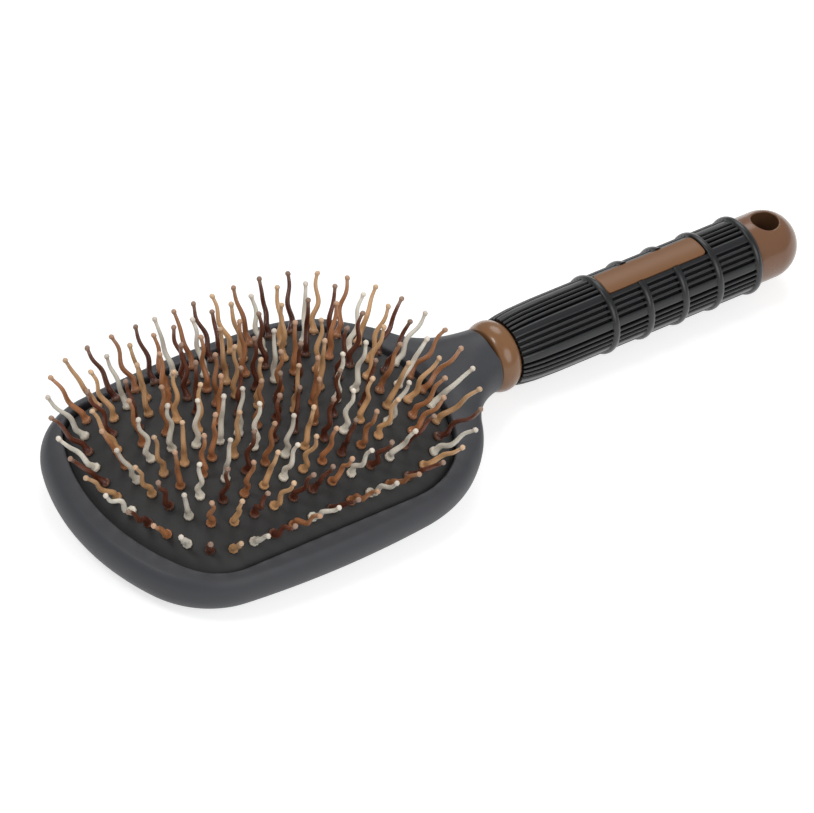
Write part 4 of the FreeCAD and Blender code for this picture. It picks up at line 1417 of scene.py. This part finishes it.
class BRUSH_OT_collar(bpy.types.Operator):
    """Turn the bulging collar ring"""
    bl_idname = "brush.collar"
    bl_label = "Collar"

    def execute(self, context):
        settings = context.scene.brush_handle
        start = NECK_END + SEAM_GAP
        end = COLLAR_END - SEAM_GAP
        middle = (start + end) / 2
        half = (end - start) / 2
        rise = COLLAR_CREST_RADIUS - COLLAR_EDGE_RADIUS
        radius = (half ** 2 + rise ** 2) / (2 * rise)
        ends = (TANG_RADIUS + TANG_GAP, COLLAR_EDGE_RADIUS - COLLAR_EDGE_ROUND)
        profile = [(start, side) for side in ends]
        limit = math.asin((half - COLLAR_EDGE_ROUND / 2) / radius)
        for step in range(-COLLAR_ROWS, COLLAR_ROWS + 1):
            angle = limit * step / COLLAR_ROWS
            profile.append((middle + radius * math.sin(angle),
                            COLLAR_CREST_RADIUS - radius * (1 - math.cos(angle))))
        profile += [(end, side) for side in ends[::-1]]
        material = moulded_material("Collar brown", settings.collar, "gloss brown")
        piece = turned_form(profile, COLLAR_SIDES).build("collar", material, ROUND_SMOOTH_LIMIT)
        finish_piece(piece, "handle", "trim_brown", "collar_ring")
        return {"FINISHED"}


class BRUSH_OT_badge(bpy.types.Operator):
    """Lay the bare badge plate on the grip"""
    bl_idname = "brush.badge"
    bl_label = "Badge plate"

    def execute(self, context):
        settings = context.scene.brush_handle
        bands = band_stations()
        low = bands[0] + BAND_WIDTH / 2
        high = bands[BADGE_LAST_BAND] - BAND_WIDTH / 2
        middle = at((low + high) / 2)
        half_x = (high - low) / 2
        half_y = math.radians(BADGE_HALF_ANGLE) * GRIP_RADIUS
        outer = GRIP_RADIUS + BADGE_PROUD
        form = Form()
        rows = []
        for inset, drop in ((0, outer - BADGE_SEAT_RADIUS), *BADGE_EDGE_TABLE):
            corner = max(BADGE_LEAST_CORNER, BADGE_CORNER - inset)
            plane = self.rounded_rectangle(half_x - inset, half_y - inset, corner)
            rows.append(form.add([on_handle(middle + x, y / GRIP_RADIUS, outer - drop)
                                  for x, y in plane]))
        form.skin(rows)
        self.fill(form, rows[-1], outer)
        self.fill(form, rows[0], BADGE_SEAT_RADIUS)
        material = moulded_material("Satin brown", settings.badge, "satin brown")
        piece = form.build("badge", material)
        finish_piece(piece, "handle", "badge_brown", "badge_plate")
        return {"FINISHED"}

    @staticmethod
    def rounded_rectangle(half_x, half_y, corner):
        """Points of a rounded rectangle about the origin, before it is laid round the handle."""
        points = []
        for sign_x, sign_y, start in ((1, 1, 0), (-1, 1, 1), (-1, -1, 2), (1, -1, 3)):
            for step in range(BADGE_CORNER_STEPS + 1):
                angle = HALF_TURN / 2 * (start + step / BADGE_CORNER_STEPS)
                points.append((sign_x * (half_x - corner) + corner * math.cos(angle),
                               sign_y * (half_y - corner) + corner * math.sin(angle)))
        full = []
        for (x1, y1), (x2, y2) in zip(points, points[1:] + points[:1]):
            count = max(1, round(math.hypot(x2 - x1, y2 - y1) / BADGE_STEP))
            full += [(x1 + (x2 - x1) * i / count, y1 + (y2 - y1) * i / count)
                     for i in range(count)]
        return full

    @staticmethod
    def fill(form, loop, radius):
        """Close a loop over a curved field of points."""
        flat = []
        for x, y, z in (form.points[i] for i in loop):
            flat.append(Vector((x, math.atan2(y, z - AXIS_HEIGHT) * GRIP_RADIUS)))
        low_x, high_x = min(p.x for p in flat), max(p.x for p in flat)
        low_y, high_y = min(p.y for p in flat), max(p.y for p in flat)
        columns, lines = BADGE_FIELD
        extra = []
        for i in range(1, columns):
            for j in range(1, lines):
                p = Vector((low_x + (high_x - low_x) * i / columns,
                            low_y + (high_y - low_y) * j / lines))
                if inside(p, flat) and min((p - q).length for q in flat) > BADGE_FIELD_MARGIN:
                    extra.append(p)
        numbers = loop + form.add([on_handle(p.x, p.y / GRIP_RADIUS, radius) for p in extra])
        form.faces += [tuple(numbers[i] for i in face) for face in triangles(flat, [], extra)]


class BRUSH_OT_cap(bpy.types.Operator):
    """Build the domed end cap with its rounded hanging hole"""
    bl_idname = "brush.cap"
    bl_label = "End cap"

    def execute(self, context):
        settings = context.scene.brush_handle
        start = GRIP_END + SEAM_GAP
        corner = math.atan2(CAP_RADIUS, start - HOLE_STATION)
        side_turns = [corner * i / CAP_SIDE_STEPS for i in range(CAP_SIDE_STEPS)]
        angles = list(side_turns)
        angles += [corner + (FULL_TURN - 2 * corner) * i / CAP_END_STEPS
                   for i in range(CAP_END_STEPS)]
        angles += [FULL_TURN - corner + turn for turn in side_turns]
        form = Form()
        sheets = []
        for side in (1, -1):
            rows = []
            for step in range(HOLE_ROWS + 1):
                turn = HALF_TURN / 2 * step / HOLE_ROWS
                radius = HOLE_RADIUS + HOLE_ROUND * (1 - math.cos(turn))
                drop = HOLE_ROUND * (1 - math.sin(turn))
                rows.append(self.row(form, angles, side, [radius] * len(angles), drop))
            first = HOLE_RADIUS + HOLE_ROUND
            for step in range(1, CAP_FACE_ROWS + 1):
                share = math.sin(HALF_TURN / 2 * step / CAP_FACE_ROWS)
                radii = [first + (self.reach(a, start) - first) * share for a in angles]
                rows.append(self.row(form, angles, side, radii, 0))
            form.skin(rows)
            sheets.append(rows)
        form.bridge(sheets[0][0], sheets[1][0])
        # The flat end towards the grip, from the upper edge down to the lower one
        flat_end = slice(CAP_SIDE_STEPS, CAP_SIDE_STEPS + CAP_END_STEPS + 1)
        form.bridge(sheets[0][-1][flat_end], sheets[1][-1][flat_end], closed=False)
        material = moulded_material("Cap brown", settings.cap, "gloss brown")
        # Painted shade on the hanging hole's wall, which is also left without coat
        paint_hollow_shade(material, hole_mask, HOLE_PAINTED_SHADE)
        piece = form.build("cap", material)
        low = GRIP_END - SPIGOT_LENGTH
        high = start + SPIGOT_OVERLAP
        spigot = turned_form([(low, SPIGOT_CORE), (low, SPIGOT_RADIUS - SPIGOT_CHAMFER),
                              (low + SPIGOT_CHAMFER, SPIGOT_RADIUS), (high, SPIGOT_RADIUS),
                              (high, SPIGOT_CORE)], SPIGOT_SIDES)
        pin = spigot.build("cap_spigot", material)
        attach(pin, "handle")
        finish_piece(piece, "handle", "trim_brown", "end_cap")
        return {"FINISHED"}

    @staticmethod
    def reach(angle, start):
        """Distance from the hole's axis to the cap's outline, seen from above."""
        ray = Vector((math.cos(angle), math.sin(angle)))
        offset = DOME_STATION - HOLE_STATION
        if ray.x < 0 and abs(ray.y / ray.x) <= CAP_RADIUS / (HOLE_STATION - start) + TINY:
            return (start - HOLE_STATION) / ray.x
        straight = CAP_RADIUS / max(TINY, abs(ray.y))
        if straight * ray.x <= offset:
            return straight
        along = ray.x * offset
        return along + math.sqrt(along * along + CAP_RADIUS ** 2 - offset ** 2)

    @staticmethod
    def row(form, angles, side, radii, drop):
        """One ring around the hole on the upper or the lower face, closed at the cap's edge."""
        points = []
        for angle, radius in zip(angles, radii):
            x = HOLE_STATION + radius * math.cos(angle)
            y = radius * math.sin(angle)
            past = max(0, x - DOME_STATION)
            square = CAP_RADIUS ** 2 - y * y - past * past
            height = (math.sqrt(square) if square > CAP_EDGE_SQUARE else 0) - drop
            points.append((at(x), y, AXIS_HEIGHT + side * height))
        return form.add(points)


class BRUSH_OT_stage(bpy.types.Operator):
    """Lay the pale floor and light the studio"""
    bl_idname = "brush.stage"
    bl_label = "Stage"

    def execute(self, context):
        settings = context.scene.brush_stage
        mesh = bpy.data.meshes.new("floor")
        corners = [(x * FLOOR_HALF, y * FLOOR_HALF, 0) for x, y in
                   ((-1, -1), (1, -1), (1, 1), (-1, 1))]
        mesh.from_pydata(corners, [], [(0, 1, 2, 3)])
        mesh.materials.append(self.floor_material())
        floor = bpy.data.objects.new("floor", mesh)
        floor.location.z = -FLOOR_GAP * MM
        context.scene.collection.objects.link(floor)
        self.light_world(context.scene, settings.sky)
        for name, (place, size) in LAMPS.items():
            lamp = bpy.data.lights.new(name, "AREA")
            lamp.shape = "DISK"
            lamp.size = size
            lamp.energy = getattr(settings, name)
            light = bpy.data.objects.new(name, lamp)
            light.location = place
            light.rotation_euler = (-Vector(place)).to_track_quat("-Z", "Y").to_euler()
            context.scene.collection.objects.link(light)
        return {"FINISHED"}

    @staticmethod
    def floor_material():
        """Pale floor that the camera sees almost white, with the brush's shadow on it."""
        grey = (FLOOR_GREY,) * 3
        material, tree, shader = new_material("Pale floor", grey)
        shader.inputs["Base Color"].default_value = (*grey, 1)
        shader.inputs["Roughness"].default_value = FLOOR_ROUGHNESS
        shader.inputs["Specular IOR Level"].default_value = FLOOR_SPECULAR
        path = node(tree, "ShaderNodeLightPath").outputs
        seen = maths(tree, "MAXIMUM", path["Is Camera Ray"], path["Is Glossy Ray"])
        seen = maths(tree, "MAXIMUM", seen, path["Is Transmission Ray"])
        glow = maths(tree, "MULTIPLY", seen, FLOOR_GLOW)
        tree.links.new(glow, shader.inputs["Emission Strength"])
        shader.inputs["Emission Color"].default_value = (1, 1, 1, 1)
        return material

    @staticmethod
    def light_world(scene, strength):
        """Even white light from all around."""
        world = bpy.data.worlds.new("studio")
        world.use_nodes = True
        tree = world.node_tree
        background = tree.nodes["Background"]
        background.inputs["Color"].default_value = (1, 1, 1, 1)
        path = node(tree, "ShaderNodeLightPath").outputs
        level = ranged(tree, path["Is Camera Ray"], None, (strength, 1))
        tree.links.new(level, background.inputs["Strength"])
        scene.world = world
        scene.view_settings.view_transform = "Standard"


class BRUSH_PT_panel(bpy.types.Panel):
    """Sizes, colours and pieces of the brush"""
    bl_idname = "BRUSH_PT_panel"
    bl_label = "Detangling brush"
    bl_space_type = "VIEW_3D"
    bl_region_type = "UI"
    bl_category = "Brush"

    def draw(self, context):
        for label, settings, operators in (
                ("Paddle", "brush_paddle", ("brush.paddle",)),
                ("Cushion", "brush_cushion", ("brush.cushion",)),
                ("Pins", "brush_pins", ("brush.pins",)),
                ("Handle", "brush_handle", ("brush.collar", "brush.grip", "brush.badge",
                                            "brush.cap")),
                ("Stage", "brush_stage", ("brush.camera", "brush.stage"))):
            box = self.layout.box()
            box.label(text=label)
            group = getattr(context.scene, settings)
            for name in group.__annotations__:
                box.prop(group, name)
            for operator in operators:
                box.operator(operator)


SETTINGS = {
    "brush_paddle": BrushPaddleSettings,
    "brush_cushion": BrushCushionSettings,
    "brush_pins": BrushPinSettings,
    "brush_handle": BrushHandleSettings,
    "brush_stage": BrushStageSettings,
}
CLASSES = (*SETTINGS.values(), BRUSH_OT_camera, BRUSH_OT_paddle, BRUSH_OT_cushion, BRUSH_OT_pins,
           BRUSH_OT_grip, BRUSH_OT_collar, BRUSH_OT_badge, BRUSH_OT_cap, BRUSH_OT_stage,
           BRUSH_PT_panel)


def register():
    for item in CLASSES:
        bpy.utils.register_class(item)
    for name, item in SETTINGS.items():
        setattr(bpy.types.Scene, name, bpy.props.PointerProperty(type=item))


def unregister():
    for name in SETTINGS:
        delattr(bpy.types.Scene, name)
    for item in reversed(CLASSES):
        bpy.utils.unregister_class(item)


def main():
    """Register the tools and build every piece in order."""
    register()
    for step in (bpy.ops.brush.camera, bpy.ops.brush.paddle, bpy.ops.brush.cushion,
                 bpy.ops.brush.pins, bpy.ops.brush.collar, bpy.ops.brush.grip,
                 bpy.ops.brush.badge, bpy.ops.brush.cap, bpy.ops.brush.stage):
        step()


if __name__ == "__main__":
    main()
